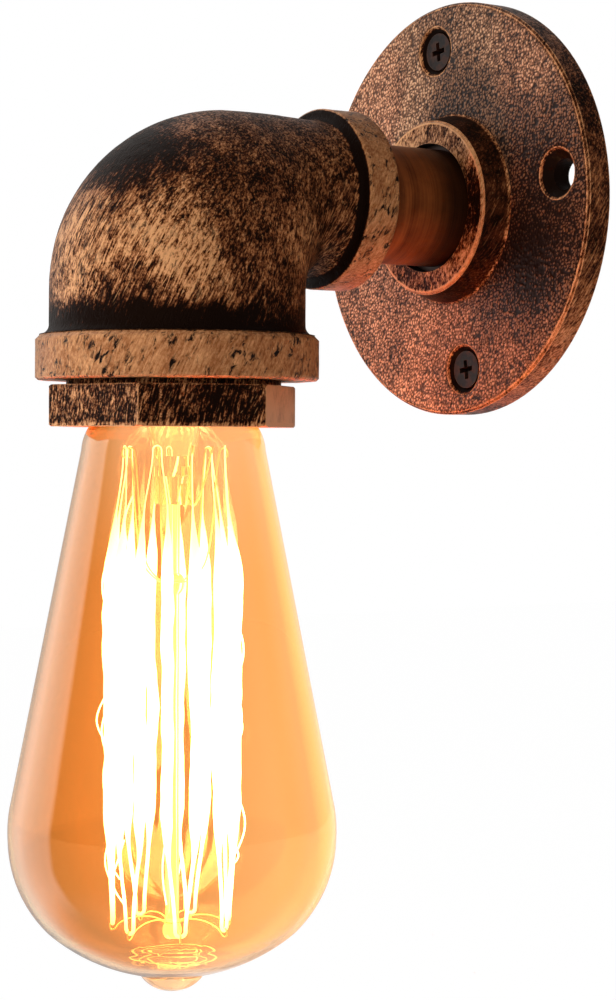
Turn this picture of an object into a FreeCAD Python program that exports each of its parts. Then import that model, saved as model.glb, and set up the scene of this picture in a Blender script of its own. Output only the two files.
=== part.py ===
"""Industrial pipe wall light with a screw-in squirrel-cage bulb, all sizes in millimetres.

The wall plane is y = 0 and the wall is on the +Y side.  The pipe axis is the Y axis
(x = 0, z = 0) and leads out to the elbow.  The bulb axis is vertical, elbow_run out from
the wall, and the pieces around it are drawn about their own Z axis and placed there.
"""
import FreeCAD, Part
import math
import os
import Sketcher

DOC = FreeCAD.newDocument("pipe_wall_light")
SHEET = DOC.addObject("Spreadsheet::Sheet", "Sizes")
FIRST_ROW = 1


class Size:
    """A length together with the expression that the document keeps for it."""

    def __init__(self, value, text):
        self.value = float(value)
        self.text = text

    def __add__(self, other):
        return combine(self, "+", other)

    def __radd__(self, other):
        return combine(other, "+", self)

    def __sub__(self, other):
        return combine(self, "-", other)

    def __rsub__(self, other):
        return combine(other, "-", self)

    def __mul__(self, other):
        return combine(self, "*", other)

    def __rmul__(self, other):
        return combine(other, "*", self)

    def __truediv__(self, other):
        return combine(self, "/", other)

    def __neg__(self):
        return combine(0, "-", self)


def as_size(number):
    return number if isinstance(number, Size) else Size(number, "%.9g" % number)


def combine(left, sign, right):
    left, right = as_size(left), as_size(right)
    results = {"+": left.value + right.value, "-": left.value - right.value,
               "*": left.value * right.value}
    value = results[sign] if sign in results else left.value / right.value
    return Size(value, "(%s %s %s)" % (left.text, sign, right.text))


def size(name, value):
    """Writes one driving dimension into the sheet and returns it."""
    global FIRST_ROW
    SHEET.set("A%d" % FIRST_ROW, name)
    SHEET.set("B%d" % FIRST_ROW, "%.9g" % value)
    SHEET.setAlias("B%d" % FIRST_ROW, name)
    FIRST_ROW += 1
    return Size(value, "Sizes." + name)


# ---------------------------------------------------------------- driving dimensions
# Wall flange: a cast floor flange for 3/4 inch pipe
flange_radius = size("flange_radius", 43.25)
flange_thick = size("flange_thick", 6.1)
hub_proud = size("hub_proud", 6.1)
hub_front_radius = size("hub_front_radius", 18.2)
hub_base_radius = size("hub_base_radius", 19.7)
hub_round = size("hub_round", 0.5)
mouth_radius = size("mouth_radius", 13.4)
mouth_depth = size("mouth_depth", 2.2)
rim_edge = size("rim_edge", 0.5)
hole_circle_radius = size("hole_circle_radius", 34.15)
hole_turn = size("hole_turn", -8.2)
hole_dia = size("hole_dia", 6.4)
hole_mouth_dia = size("hole_mouth_dia", 10.5)

# Wall screws: black bugle-head screws
screw_head_radius = size("screw_head_radius", 3.9)
screw_head_rim = size("screw_head_rim", 0.5)
screw_core_radius = size("screw_core_radius", 1.35)
screw_thread_radius = size("screw_thread_radius", 1.95)
screw_neck_radius = size("screw_neck_radius", 1.6)
screw_reach = size("screw_reach", 13.8)
screw_taper = size("screw_taper", 6.0)
screw_point = size("screw_point", 3.5)
screw_point_radius = size("screw_point_radius", 0.15)
screw_thread_foot = size("screw_thread_foot", 0.4)
screw_thread_crest = size("screw_thread_crest", 0.05)
screw_pitch = size("screw_pitch", 2.0)
cross_width = size("cross_width", 1.1)
cross_span = size("cross_span", 4.0)
cross_depth = size("cross_depth", 1.9)

# Pipe nipple
nipple_radius = size("nipple_radius", 12.25)
nipple_bore_radius = size("nipple_bore_radius", 9.5)
pipe_thread_radius = size("pipe_thread_radius", 13.2)
pipe_thread_gap = size("pipe_thread_gap", 0.05)
nipple_wall_end = size("nipple_wall_end", 1.5)
nipple_grip = size("nipple_grip", 11.5)
end_bevel = size("end_bevel", 0.6)

# Reducing elbow, 1 1/4 inch down to 3/4 inch, with beaded ends
elbow_run = size("elbow_run", 75.4)
core_shift = size("core_shift", 0.8)
side_end = size("side_end", 33.5)
side_band = size("side_band", 7.9)
side_band_radius = size("side_band_radius", 18.3)
neck_radius = size("neck_radius", 15.8)
neck_root_radius = size("neck_root_radius", 16.6)
neck_root = size("neck_root", 1.0)
belly_radius = size("belly_radius", 25.05)
crotch_radius = size("crotch_radius", 4.0)
elbow_wall = size("elbow_wall", 3.9)
drop_end = size("drop_end", 37.35)
drop_band = size("drop_band", 8.85)
drop_band_radius = size("drop_band_radius", 27.7)
shoulder_rise = size("shoulder_rise", 1.9)
band_bevel = size("band_bevel", 0.5)
drop_band_bevel = size("drop_band_bevel", 1.0)
ledge_thick = size("ledge_thick", 2.4)
ledge_radius = size("ledge_radius", 18.6)
ledge_root = size("ledge_root", 1.9)
throat_gap = size("throat_gap", 0.4)

# Hexagon bushing that closes the bottom of the elbow
bush_thread_radius = size("bush_thread_radius", 20.95)
bush_thread_gap = size("bush_thread_gap", 0.05)
bush_reveal = size("bush_reveal", 0.95)
hex_corner_radius = size("hex_corner_radius", 24.8)
hex_height = size("hex_height", 8.1)
hex_turn = size("hex_turn", 11.1)
hex_bevel = size("hex_bevel", 0.6)
bush_grip = size("bush_grip", 14.3)
bush_bore_radius = size("bush_bore_radius", 17.5)

# Lampholder
holder_gap = size("holder_gap", 0.1)
holder_flange_radius = size("holder_flange_radius", 20.2)
holder_flange_thick = size("holder_flange_thick", 3.0)
washer_thick = size("washer_thick", 0.6)
holder_lip = size("holder_lip", 3.0)
holder_top = size("holder_top", 6.0)
holder_floor = size("holder_floor", 3.5)
holder_crown_radius = size("holder_crown_radius", 13.5)
holder_mouth_radius = size("holder_mouth_radius", 15.4)
holder_crown_drop = size("holder_crown_drop", 2.0)

# Lamp cap and screw shell, 27 mm screw form
cap_pitch = size("cap_pitch", 3.629)
cap_root_radius = size("cap_root_radius", 12.05)
cap_crest_radius = size("cap_crest_radius", 13.07)
cap_wall = size("cap_wall", 0.45)
cap_rim = size("cap_rim", 38.0)
cap_skirt = size("cap_skirt", 3.2)
cap_skirt_radius = size("cap_skirt_radius", 13.1)
cap_turns = size("cap_turns", 3.8)
skirt_slope = size("skirt_slope", 0.6)
shoulder_lip = size("shoulder_lip", 0.6)
shoulder_bevel = size("shoulder_bevel", 0.5)
thread_lead = size("thread_lead", 0.1)
cap_shoulder = size("cap_shoulder", 17.5)
cap_tip = size("cap_tip", 12.1)
cap_tip_thick = size("cap_tip_thick", 1.5)
cap_tip_radius = size("cap_tip_radius", 4.8)
insulator_rim = size("insulator_rim", 0.6)
insulator_hole_radius = size("insulator_hole_radius", 1.0)
ridge_foot = size("ridge_foot", 1.15)
ridge_crest = size("ridge_crest", 0.45)
shell_groove_radius = size("shell_groove_radius", 13.35)
shell_ridge_radius = size("shell_ridge_radius", 12.45)
shell_wall = size("shell_wall", 0.5)
shell_rim = size("shell_rim", 38.2)
shell_top = size("shell_top", 16.0)
shell_foot = size("shell_foot", 1.05)
shell_crest = size("shell_crest", 0.4)

# Contacts and terminals
strip_thick = size("strip_thick", 0.6)
strip_width = size("strip_width", 5.0)
contact_gap = size("contact_gap", 0.05)
leaf_slope_start = size("leaf_slope_start", 2.4)
leaf_slope_end = size("leaf_slope_end", 3.4)
leaf_fold = size("leaf_fold", 0.4)
leaf_tip = size("leaf_tip", 3.4)
strap_gap = size("strap_gap", 0.3)
strap_drop = size("strap_drop", 1.0)
terminal_offset = size("terminal_offset", 6.0)
terminal_width = size("terminal_width", 6.0)
terminal_depth = size("terminal_depth", 7.0)
terminal_height = size("terminal_height", 5.6)
rivet_radius = size("rivet_radius", 1.2)
rivet_head = size("rivet_head", 0.7)
rivet_head_rim = size("rivet_head_rim", 0.8)
rivet_top = size("rivet_top", 1.4)
core_rise = size("core_rise", 2.7)
core_stop = size("core_stop", 1.0)
slot_half_width = size("slot_half_width", 0.35)
clamp_radius = size("clamp_radius", 1.5)
clamp_head_radius = size("clamp_head_radius", 2.6)
clamp_head_height = size("clamp_head_height", 1.8)

# Leads
lead_radius = size("lead_radius", 1.2)
core_radius = size("core_radius", 0.6)
core_gap = size("core_gap", 0.05)
lead_wall_end = size("lead_wall_end", 1.0)
lead_height = size("lead_height", 2.0)
lead_core_length = size("lead_core_length", 6.0)
lead_step_start = size("lead_step_start", 47.0)
lead_step_length = size("lead_step_length", 17.0)
earth_dip = size("earth_dip", 1.2)
earth_dip_start = size("earth_dip_start", 20.0)
earth_dip_end = size("earth_dip_end", 40.0)
earth_core_length = size("earth_core_length", 4.5)
earth_stop = size("earth_stop", 0.5)

# Earth terminal
boss_out = size("boss_out", 60.0)
boss_radius = size("boss_radius", 3.4)
boss_foot = size("boss_foot", 8.4)
boss_top = size("boss_top", 14.2)
lug_thick = size("lug_thick", 0.8)
lug_radius = size("lug_radius", 3.0)
lug_reach = size("lug_reach", 8.6)
barrel_radius = size("barrel_radius", 1.6)
barrel_length = size("barrel_length", 4.6)
barrel_floor = size("barrel_floor", 0.4)
tongue_half_width = size("tongue_half_width", 1.3)
boss_cover = size("boss_cover", 0.6)

# Bulb, 64 mm across: each length leads down from the one before it
glass_wall = size("glass_wall", 0.7)
neck_glass_radius = size("neck_glass_radius", 12.5)
neck_lip = size("neck_lip", 0.2)
neck_entry = size("neck_entry", 0.8)
neck_start = size("neck_start", 0.3)
neck_drop = size("neck_drop", 5.7)
neck_foot_radius = size("neck_foot_radius", 14.2)
neck_curve = size("neck_curve", 9.0)
flare_drop = size("flare_drop", 6.9)
cone_top_radius = size("cone_top_radius", 18.0)
cone_length = size("cone_length", 68.5)
cone_end_radius = size("cone_end_radius", 31.5)
belly_drop = size("belly_drop", 7.6)
belly_glass_radius = size("belly_glass_radius", 32.1)
belly_curve = size("belly_curve", 25.4)
heel_drop = size("heel_drop", 17.5)
heel_radius = size("heel_radius", 24.65)
heel_curve = size("heel_curve", 36.0)
nub_drop = size("nub_drop", 8.5)
nub_radius = size("nub_radius", 7.0)
nub_step = size("nub_step", 1.2)
nub_step_drop = size("nub_step_drop", 1.3)
nub_step_curve = size("nub_step_curve", 4.0)
nub_curve = size("nub_curve", 7.0)
nub_length = size("nub_length", 3.7)

# Inside the bulb
stem_flare_drop = size("stem_flare_drop", 0.4)
stem_flare_edge = size("stem_flare_edge", 1.0)
stem_waist_drop = size("stem_waist_drop", 8.1)
stem_curve = size("stem_curve", 9.0)
stem_wall = size("stem_wall", 1.1)
stem_radius = size("stem_radius", 4.2)
pinch_drop = size("pinch_drop", 16.0)
pinch_web = size("pinch_web", 2.0)
pinch_length = size("pinch_length", 7.5)
pinch_width = size("pinch_width", 8.4)
pinch_thick = size("pinch_thick", 3.4)
rod_radius = size("rod_radius", 1.3)
rod_gap = size("rod_gap", 9.7)
bead_radius = size("bead_radius", 2.5)
bead_length = size("bead_length", 4.0)
lower_bead_length = size("lower_bead_length", 3.2)
upper_bead_drop = size("upper_bead_drop", 15.5)
cage_lift = size("cage_lift", 1.5)
cage_radius = size("cage_radius", 12.0)
filament_radius = size("filament_radius", 0.25)
support_radius = size("support_radius", 0.3)
hook_gap = size("hook_gap", 0.1)
lead_in_rise = size("lead_in_rise", 1.2)
inner_gap = size("inner_gap", 0.05)

# How far a cut runs past the face that it opens, and a part runs into its own base
cut_past = size("cut_past", 1.0)

# Heights of the bulb's outline and of what it holds, all measured down from the pipe axis
neck_foot = cap_rim + neck_start + neck_drop
cone_top = neck_foot + flare_drop
cone_end = cone_top + cone_length
belly_height = cone_end + belly_drop
heel_height = belly_height + heel_drop
nub_height = heel_height + nub_drop
bulb_end = nub_height + nub_length
pinch_top = cap_rim + pinch_drop
pinch_end = pinch_top + pinch_length
upper_bead = pinch_end + upper_bead_drop
rod_end = bulb_end - rod_gap
cage_top = pinch_top
cage_end = rod_end - cage_lift

# Heights of the bushing, of the holder collar on top of it and of the ledge above its washer
hex_top = -(drop_end + bush_reveal)
hex_foot = hex_top - hex_height
bush_top = hex_top + bush_grip
collar_top = bush_top + holder_flange_thick
ledge_foot = collar_top + washer_thick

# Place of the terminals on top of the holder
terminal_crown = terminal_height - holder_top
core_height = core_rise - holder_top

HOLES = 4
RING_SHARE = 1.4
HOOK_SHARE = 1.3
SPARE_TURN = 0.1
HEX_SIDES = 6
BEVEL_SLOPE = 0.58
CROSS_TAPER = -8
CAGE_LEGS = 14
BEND_ANGLES = ((0, 15, 30), (30, 45, 60), (60, 75, 90))
REACH_EASE = 0.31
FULL_TURN = 360
DOC.recompute()


# ---------------------------------------------------------------- drawing helpers
def origin_feature(body, role):
    return next(item for item in body.Origin.OriginFeatures if item.Role == role)


def new_body(label, out=None):
    """A named piece; out moves it along -Y, to the vertical axis of the bulb."""
    body = DOC.addObject("PartDesign::Body", label)
    body.Label = label
    body.AllowCompound = True
    if out is not None:
        body.setExpression("Placement.Base.y", (-out).text)
    return body


def new_sketch(body, name, role, shift=None):
    sketch = body.newObject("Sketcher::SketchObject", name)
    sketch.AttachmentSupport = (origin_feature(body, role), [""])
    sketch.MapMode = "FlatFace"
    if shift is not None:
        sketch.AttachmentOffset.Base.z = shift.value
        sketch.setExpression("AttachmentOffset.Base.z", shift.text)
    return sketch


def bind(sketch, kind, target, amount):
    """One sketch constraint; target is (element, point) seen from the sketch origin."""
    amount = as_size(amount)
    number = sketch.addConstraint(Sketcher.Constraint(kind, -1, 1, *target, amount.value))
    if "Sizes." in amount.text:
        sketch.setExpression("Constraints[%d]" % number, amount.text)


def bind_radius(sketch, element, radius):
    radius = as_size(radius)
    number = sketch.addConstraint(Sketcher.Constraint("Radius", element, radius.value))
    if "Sizes." in radius.text:
        sketch.setExpression("Constraints[%d]" % number, radius.text)


def arc_between(start, end, radius):
    """Arc of a signed radius from start to end; a positive one turns counter-clockwise."""
    chord = end.sub(start)
    middle = start.add(end).multiply(0.5)
    height = math.sqrt(max(radius ** 2 - (chord.Length / 2) ** 2, 0.0))
    side = FreeCAD.Vector(-chord.y, chord.x, 0).normalize()
    centre = middle.add(side.multiply(math.copysign(height, radius)))
    first, last = (start, end) if radius > 0 else (end, start)
    angles = [math.atan2(p.y - centre.y, p.x - centre.x) for p in (first, last)]
    circle = Part.Circle(centre, FreeCAD.Vector(0, 0, 1), abs(radius))
    return Part.ArcOfCircle(circle, angles[0], angles[1])


def draw(sketch, corners):
    """Closed outline; a corner is (x, y), or (x, y, radius) where an arc leads on from it."""
    count = len(corners)
    places = [FreeCAD.Vector(as_size(c[0]).value, as_size(c[1]).value, 0) for c in corners]
    first = sketch.GeometryCount
    starts, ends = [], []
    for index, corner in enumerate(corners):
        start, end = places[index], places[(index + 1) % count]
        if len(corner) == 3:
            radius = as_size(corner[2])
            sketch.addGeometry(arc_between(start, end, radius.value), False)
            starts.append(1 if radius.value > 0 else 2)
            ends.append(2 if radius.value > 0 else 1)
        else:
            sketch.addGeometry(Part.LineSegment(start, end), False)
            starts.append(1)
            ends.append(2)
    for index in range(count):
        after = (index + 1) % count
        sketch.addConstraint(Sketcher.Constraint(
            "Coincident", first + index, ends[index], first + after, starts[after]))
    for index, corner in enumerate(corners):
        bind(sketch, "DistanceX", (first + index, starts[index]), corner[0])
        bind(sketch, "DistanceY", (first + index, starts[index]), corner[1])
        if len(corner) == 3:
            radius = as_size(corner[2])
            bind_radius(sketch, first + index, radius if radius.value > 0 else -radius)


def circle(sketch, x, y, radius):
    x, y, radius = as_size(x), as_size(y), as_size(radius)
    element = sketch.addGeometry(
        Part.Circle(FreeCAD.Vector(x.value, y.value, 0), FreeCAD.Vector(0, 0, 1), radius.value))
    bind(sketch, "DistanceX", (element, 3), x)
    bind(sketch, "DistanceY", (element, 3), y)
    bind_radius(sketch, element, radius)


def axis_line(sketch, start, end):
    """Construction line, both ends bound to sizes, that a piece of the sketch turns about."""
    places = [FreeCAD.Vector(as_size(a).value, as_size(b).value, 0) for a, b in (start, end)]
    line = sketch.addGeometry(Part.LineSegment(*places), True)
    for point, corner in ((1, start), (2, end)):
        bind(sketch, "DistanceX", (line, point), corner[0])
        bind(sketch, "DistanceY", (line, point), corner[1])
    return "Axis0"


def turned(body, name, corners, axis, cut=False, line=None):
    """Outline in the YZ plane turned about the H (pipe) or V (bulb) axis of its sketch, or
    about a line of its own."""
    sketch = new_sketch(body, name + "_outline", "YZ_Plane")
    draw(sketch, corners)
    feature = body.newObject("PartDesign::Groove" if cut else "PartDesign::Revolution", name)
    feature.Profile = sketch
    feature.ReferenceAxis = (sketch, [axis_line(sketch, *line) if line else axis + "_Axis"])
    feature.Angle = FULL_TURN
    return feature


def raised(body, name, sketch, length, cut=False, back=False):
    """Straight pad, or pocket, of a sketch along its own normal or against it."""
    length = as_size(length)
    feature = body.newObject("PartDesign::Pocket" if cut else "PartDesign::Pad", name)
    feature.Profile = sketch
    feature.Length = length.value
    if "Sizes." in length.text:
        feature.setExpression("Length", length.text)
    feature.Reversed = back
    return feature


def spiral(body, name, corners, pitch, height, axis="V"):
    """Ridge of the drawn section wound round the axis as a right-handed screw."""
    sketch = new_sketch(body, name + "_section", "YZ_Plane")
    draw(sketch, corners)
    feature = body.newObject("PartDesign::AdditiveHelix", name)
    feature.Profile = sketch
    feature.ReferenceAxis = (sketch, [axis + "_Axis"])
    feature.Mode = 0
    feature.Pitch = pitch.value
    feature.Height = height.value
    feature.setExpression("Pitch", pitch.text)
    feature.setExpression("Height", height.text)
    return feature


def repeat(body, name, feature, role, copies):
    DOC.recompute()
    pattern = body.newObject("PartDesign::PolarPattern", name)
    pattern.Originals = [feature]
    pattern.Axis = (origin_feature(body, role), [""])
    pattern.Angle = FULL_TURN
    pattern.Occurrences = copies
    body.Tip = pattern
    return pattern


# ---------------------------------------------------------------- wall side
hub_front = flange_thick + hub_proud


def wall_flange():
    body = new_body("wall_flange")
    thread_bore = pipe_thread_radius + pipe_thread_gap
    turned(body, "flange_casting", [
        (0, thread_bore),
        (0, flange_radius - rim_edge),
        (-rim_edge, flange_radius),
        (-(flange_thick - rim_edge), flange_radius),
        (-flange_thick, flange_radius - rim_edge),
        (-flange_thick, hub_base_radius),
        (-(hub_front - hub_round), hub_front_radius, -hub_round),
        (-hub_front, hub_front_radius - hub_round),
        (-hub_front, mouth_radius),
        (-(hub_front - mouth_depth), mouth_radius),
        (-(hub_front - mouth_depth), thread_bore),
    ], "H")
    face = new_sketch(body, "hole_centre", "XZ_Plane", flange_thick)
    circle(face, 0, hole_circle_radius, hole_dia / 2)
    through = raised(body, "mounting_hole", face, flange_thick + cut_past, cut=True)
    repeat(body, "mounting_holes", through, "Y_Axis", HOLES)
    lip = hole_mouth_dia / 2
    lean = lip - hole_dia / 2
    cone = turned(body, "hole_mouth", [
        (-flange_thick - cut_past, hole_circle_radius),
        (-flange_thick - cut_past, hole_circle_radius + lip),
        (-flange_thick, hole_circle_radius + lip),
        (-flange_thick + lean, hole_circle_radius + hole_dia / 2),
        (-flange_thick + lean, hole_circle_radius),
    ], "H", cut=True, line=((-hub_front, hole_circle_radius), (0, hole_circle_radius)))
    repeat(body, "hole_mouths", cone, "Y_Axis", HOLES)
    turn_with_holes(body)
    return body


def turn_with_holes(body):
    """Turns a piece about the pipe axis by the angle of the hole pattern."""
    body.Placement = FreeCAD.Placement(
        FreeCAD.Vector(), FreeCAD.Rotation(FreeCAD.Vector(0, 1, 0), hole_turn.value))
    body.setExpression("Placement.Rotation.Angle", hole_turn.text)


def wall_screw(label, turn_sign):
    """One wall screw drawn about its own Z axis, head down, before it is laid in its hole."""
    body = new_body(label)
    sink = hole_mouth_dia / 2 - screw_head_radius
    seat = sink - contact_gap - flange_thick
    face = seat - screw_head_rim
    shank_start = seat + screw_taper
    turned(body, "shank", [
        (0, face),
        (screw_head_radius, face),
        (screw_head_radius, seat),
        (screw_neck_radius, seat + (screw_head_radius - screw_neck_radius)),
        (screw_core_radius, shank_start),
        (screw_core_radius, screw_reach - screw_point),
        (screw_point_radius, screw_reach),
        (0, screw_reach),
    ], "V")
    low = shank_start + screw_thread_foot
    embed = screw_core_radius - screw_point_radius
    spiral(body, "screw_thread", [
        (embed, low - screw_thread_foot),
        (screw_core_radius, low - screw_thread_foot),
        (screw_thread_radius, low - screw_thread_crest),
        (screw_thread_radius, low + screw_thread_crest),
        (screw_core_radius, low + screw_thread_foot),
        (embed, low + screw_thread_foot),
    ], screw_pitch, screw_reach - screw_point - screw_thread_foot - low)
    slot = new_sketch(body, "cross_slot", "XY_Plane", face)
    wide, half = cross_width / 2, cross_span / 2
    draw(slot, [(wide, wide), (half, wide), (half, -wide), (wide, -wide), (wide, -half),
                (-wide, -half), (-wide, -wide), (-half, -wide), (-half, wide), (-wide, wide),
                (-wide, half), (wide, half)])
    recess = raised(body, "cross_recess", slot, cross_depth, cut=True, back=True)
    recess.TaperAngle = CROSS_TAPER
    upright = FreeCAD.Rotation(FreeCAD.Vector(1, 0, 0), -90)
    about_pipe = FreeCAD.Rotation(FreeCAD.Vector(0, 1, 0), hole_turn.value)
    body.Placement = FreeCAD.Placement(FreeCAD.Vector(), about_pipe.multiply(upright))
    angle = math.radians(hole_turn.value)
    body.setExpression("Placement.Base.x", (hole_circle_radius * turn_sign * math.sin(angle)).text)
    body.setExpression("Placement.Base.z", (hole_circle_radius * turn_sign * math.cos(angle)).text)
    return body


def wall_screws():
    pair = [wall_screw("top_wall_screw", 1), wall_screw("bottom_wall_screw", -1)]
    group = DOC.addObject("Part::Compound", "wall_screws")
    group.Label = "wall_screws"
    group.Links = pair
    return group


def pipe_nipple():
    body = new_body("pipe_nipple")
    far_end = side_end + nipple_grip
    first_thread = hub_front - mouth_depth
    turned(body, "nipple_tube", [
        (-nipple_wall_end, nipple_bore_radius),
        (-nipple_wall_end, pipe_thread_radius - end_bevel),
        (-nipple_wall_end - end_bevel, pipe_thread_radius),
        (-first_thread, pipe_thread_radius),
        (-first_thread, nipple_radius),
        (-side_end - end_bevel, nipple_radius),
        (-side_end - end_bevel, pipe_thread_radius),
        (-far_end + end_bevel, pipe_thread_radius),
        (-far_end, pipe_thread_radius - end_bevel),
        (-far_end, nipple_bore_radius),
    ], "H")
    return body


# ---------------------------------------------------------------- elbow and bushing
bend_line = core_shift + belly_radius + crotch_radius
crotch_down = neck_radius + crotch_radius


def elbow_ring(body, name, angle, inset):
    """Ring of the bend at an angle in degrees: the planes of all rings meet in one line,
    the centre of the small round in the crotch of the elbow."""
    turn = math.radians(angle)
    eased = math.sin(turn) ** 2
    share = eased - REACH_EASE * eased * (1 - eased)
    radius = belly_radius + (neck_radius - belly_radius) * share
    reach = crotch_radius + radius
    ring = body.newObject("Sketcher::SketchObject", name)
    ring.AttachmentSupport = (origin_feature(body, "XY_Plane"), [""])
    ring.MapMode = "FlatFace"
    out = bend_line - reach * math.cos(turn)
    up = reach * math.sin(turn) - crotch_down
    ring.AttachmentOffset = FreeCAD.Placement(
        FreeCAD.Vector(0, out.value, up.value),
        FreeCAD.Rotation(FreeCAD.Vector(1, 0, 0), -angle))
    ring.setExpression("AttachmentOffset.Base.y", out.text)
    ring.setExpression("AttachmentOffset.Base.z", up.text)
    edge = radius - inset
    draw(ring, [(edge, 0, edge), (0, edge, edge), (-edge, 0, edge), (0, -edge, edge)])
    return ring


def bend(body, name, inset, cut=False):
    """The quarter bend, lofted in three lengths that share their end rings."""
    for length, angles in enumerate(BEND_ANGLES):
        rings = [elbow_ring(body, "%s_ring_%d" % (name, angle), angle, inset)
                 for angle in angles]
        kind = "PartDesign::SubtractiveLoft" if cut else "PartDesign::AdditiveLoft"
        feature = body.newObject(kind, "%s_%d" % (name, length))
        feature.Profile = rings[0]
        feature.Sections = rings[1:]
        feature.Ruled = False


def reducing_elbow():
    """Casting whose outside sits core_shift nearer the wall than its threaded mouth."""
    body = new_body("reducing_elbow", elbow_run)
    side_face = elbow_run - side_end
    bend(body, "bend_outside", 0)
    turned(body, "side_collar", [
        (bend_line, 0),
        (bend_line, neck_radius),
        (side_face - side_band - neck_root, neck_radius),
        (side_face - side_band, neck_root_radius),
        (side_face - side_band, side_band_radius - band_bevel),
        (side_face - side_band + band_bevel, side_band_radius),
        (side_face - band_bevel, side_band_radius),
        (side_face, side_band_radius - band_bevel),
        (side_face, 0),
    ], "H")
    band_top = drop_band - drop_end
    belly_edge = core_shift + belly_radius
    band_edge = core_shift + drop_band_radius
    turned(body, "drop_collar", [
        (core_shift, -crotch_down),
        (belly_edge, -crotch_down),
        (belly_edge, band_top + shoulder_rise, shoulder_rise),
        (belly_edge + shoulder_rise, band_top),
        (band_edge - drop_band_bevel, band_top),
        (band_edge, band_top - drop_band_bevel),
        (band_edge, -drop_end + band_bevel),
        (band_edge - band_bevel, -drop_end),
        (core_shift, -drop_end),
    ], "V", line=((core_shift, -drop_end), (core_shift, -crotch_down)))
    bend(body, "bend_cavity", elbow_wall, cut=True)
    mouth = bush_thread_radius + bush_thread_gap
    ledge_top = ledge_foot + ledge_thick
    turned(body, "ledge", [
        (ledge_radius - cut_past, ledge_foot),
        (mouth + ledge_root, ledge_foot),
        (mouth + ledge_root, ledge_top),
        (ledge_radius - cut_past, ledge_top),
    ], "V")
    turned(body, "drop_bore", [
        (0, -drop_end - cut_past),
        (mouth, -drop_end - cut_past),
        (mouth, ledge_foot),
        (ledge_radius, ledge_foot),
        (ledge_radius, ledge_top + cut_past),
        (0, ledge_top + cut_past),
    ], "V", cut=True)
    side_bore = pipe_thread_radius + pipe_thread_gap
    throat = side_face - nipple_grip - throat_gap
    turned(body, "side_bore", [
        (side_face + cut_past, 0),
        (side_face + cut_past, side_bore),
        (throat, side_bore),
        (throat, neck_radius - elbow_wall),
        (bend_line - cut_past, neck_radius - elbow_wall),
        (bend_line - cut_past, 0),
    ], "H", cut=True)
    boss_place = elbow_run - boss_out
    boss = new_sketch(body, "boss_outline", "XY_Plane", boss_foot)
    circle(boss, 0, boss_place, boss_radius)
    raised(body, "earth_boss", boss, boss_top - boss_foot)
    hole = new_sketch(body, "boss_hole_outline", "XY_Plane", boss_foot)
    circle(hole, 0, boss_place, clamp_radius + core_gap)
    raised(body, "boss_hole", hole, boss_top - boss_foot - boss_cover, cut=True, back=True)
    return body


def hex_bushing():
    body = new_body("hex_bushing", elbow_run)
    corners = []
    for side in range(HEX_SIDES):
        angle = math.radians(hex_turn.value + side * FULL_TURN / HEX_SIDES)
        corners.append((hex_corner_radius * math.cos(angle), hex_corner_radius * math.sin(angle)))
    outline = new_sketch(body, "hexagon", "XY_Plane", hex_foot)
    draw(outline, corners)
    raised(body, "hexagon_head", outline, hex_height)
    turned(body, "threaded_end", [
        (bush_bore_radius, hex_foot),
        (bush_bore_radius + cut_past, hex_foot),
        (bush_thread_radius, hex_top),
        (bush_thread_radius, bush_top - end_bevel),
        (bush_thread_radius - end_bevel, bush_top),
        (bush_bore_radius, bush_top),
    ], "V")
    turned(body, "bushing_bore", [
        (0, hex_foot - cut_past),
        (bush_bore_radius, hex_foot - cut_past),
        (bush_bore_radius, bush_top + cut_past),
        (0, bush_top + cut_past),
    ], "V", cut=True)
    beyond = hex_corner_radius + cut_past
    for name, level, inward in (("top_bevel", hex_top, -1), ("foot_bevel", hex_foot, 1)):
        turned(body, name, [
            (hex_corner_radius - hex_bevel, level),
            (beyond, level - cut_past * inward),
            (beyond, level + (hex_bevel + cut_past) * inward * BEVEL_SLOPE),
        ], "V", cut=True)
    return body


# ---------------------------------------------------------------- lampholder
holder_radius = bush_bore_radius - holder_gap
floor_under = -(holder_top + holder_floor)
shell_outer_radius = shell_groove_radius + shell_wall
holder_bore = shell_outer_radius + holder_gap


def lampholder_body():
    body = new_body("lampholder_body", elbow_run)
    turned(body, "holder_cup", [
        (0, floor_under),
        (holder_bore, floor_under),
        (holder_bore, -shell_rim - 2 * holder_gap),
        (holder_mouth_radius, -shell_rim - 2 * holder_gap),
        (holder_mouth_radius, -shell_rim - holder_lip),
        (holder_radius, -shell_rim - holder_lip),
        (holder_radius, bush_top),
        (holder_flange_radius, bush_top),
        (holder_flange_radius, collar_top),
        (holder_radius, collar_top),
        (holder_radius, floor_under - holder_crown_drop),
        (holder_crown_radius, -holder_top),
        (0, -holder_top),
    ], "V")
    holes = new_sketch(body, "rivet_hole_outline", "XY_Plane", -holder_top)
    for side in (1, -1):
        circle(holes, terminal_offset * side, 0, rivet_radius + core_gap)
    raised(body, "rivet_holes", holes, holder_floor + cut_past, cut=True)
    return body


def sealing_washer():
    body = new_body("sealing_washer", elbow_run)
    turned(body, "washer_ring", [
        (ledge_radius, collar_top),
        (holder_flange_radius, collar_top),
        (holder_flange_radius, ledge_foot),
        (ledge_radius, ledge_foot),
    ], "V")
    return body


thread_start = -(cap_rim - cap_skirt - ridge_foot - thread_lead)


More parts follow.
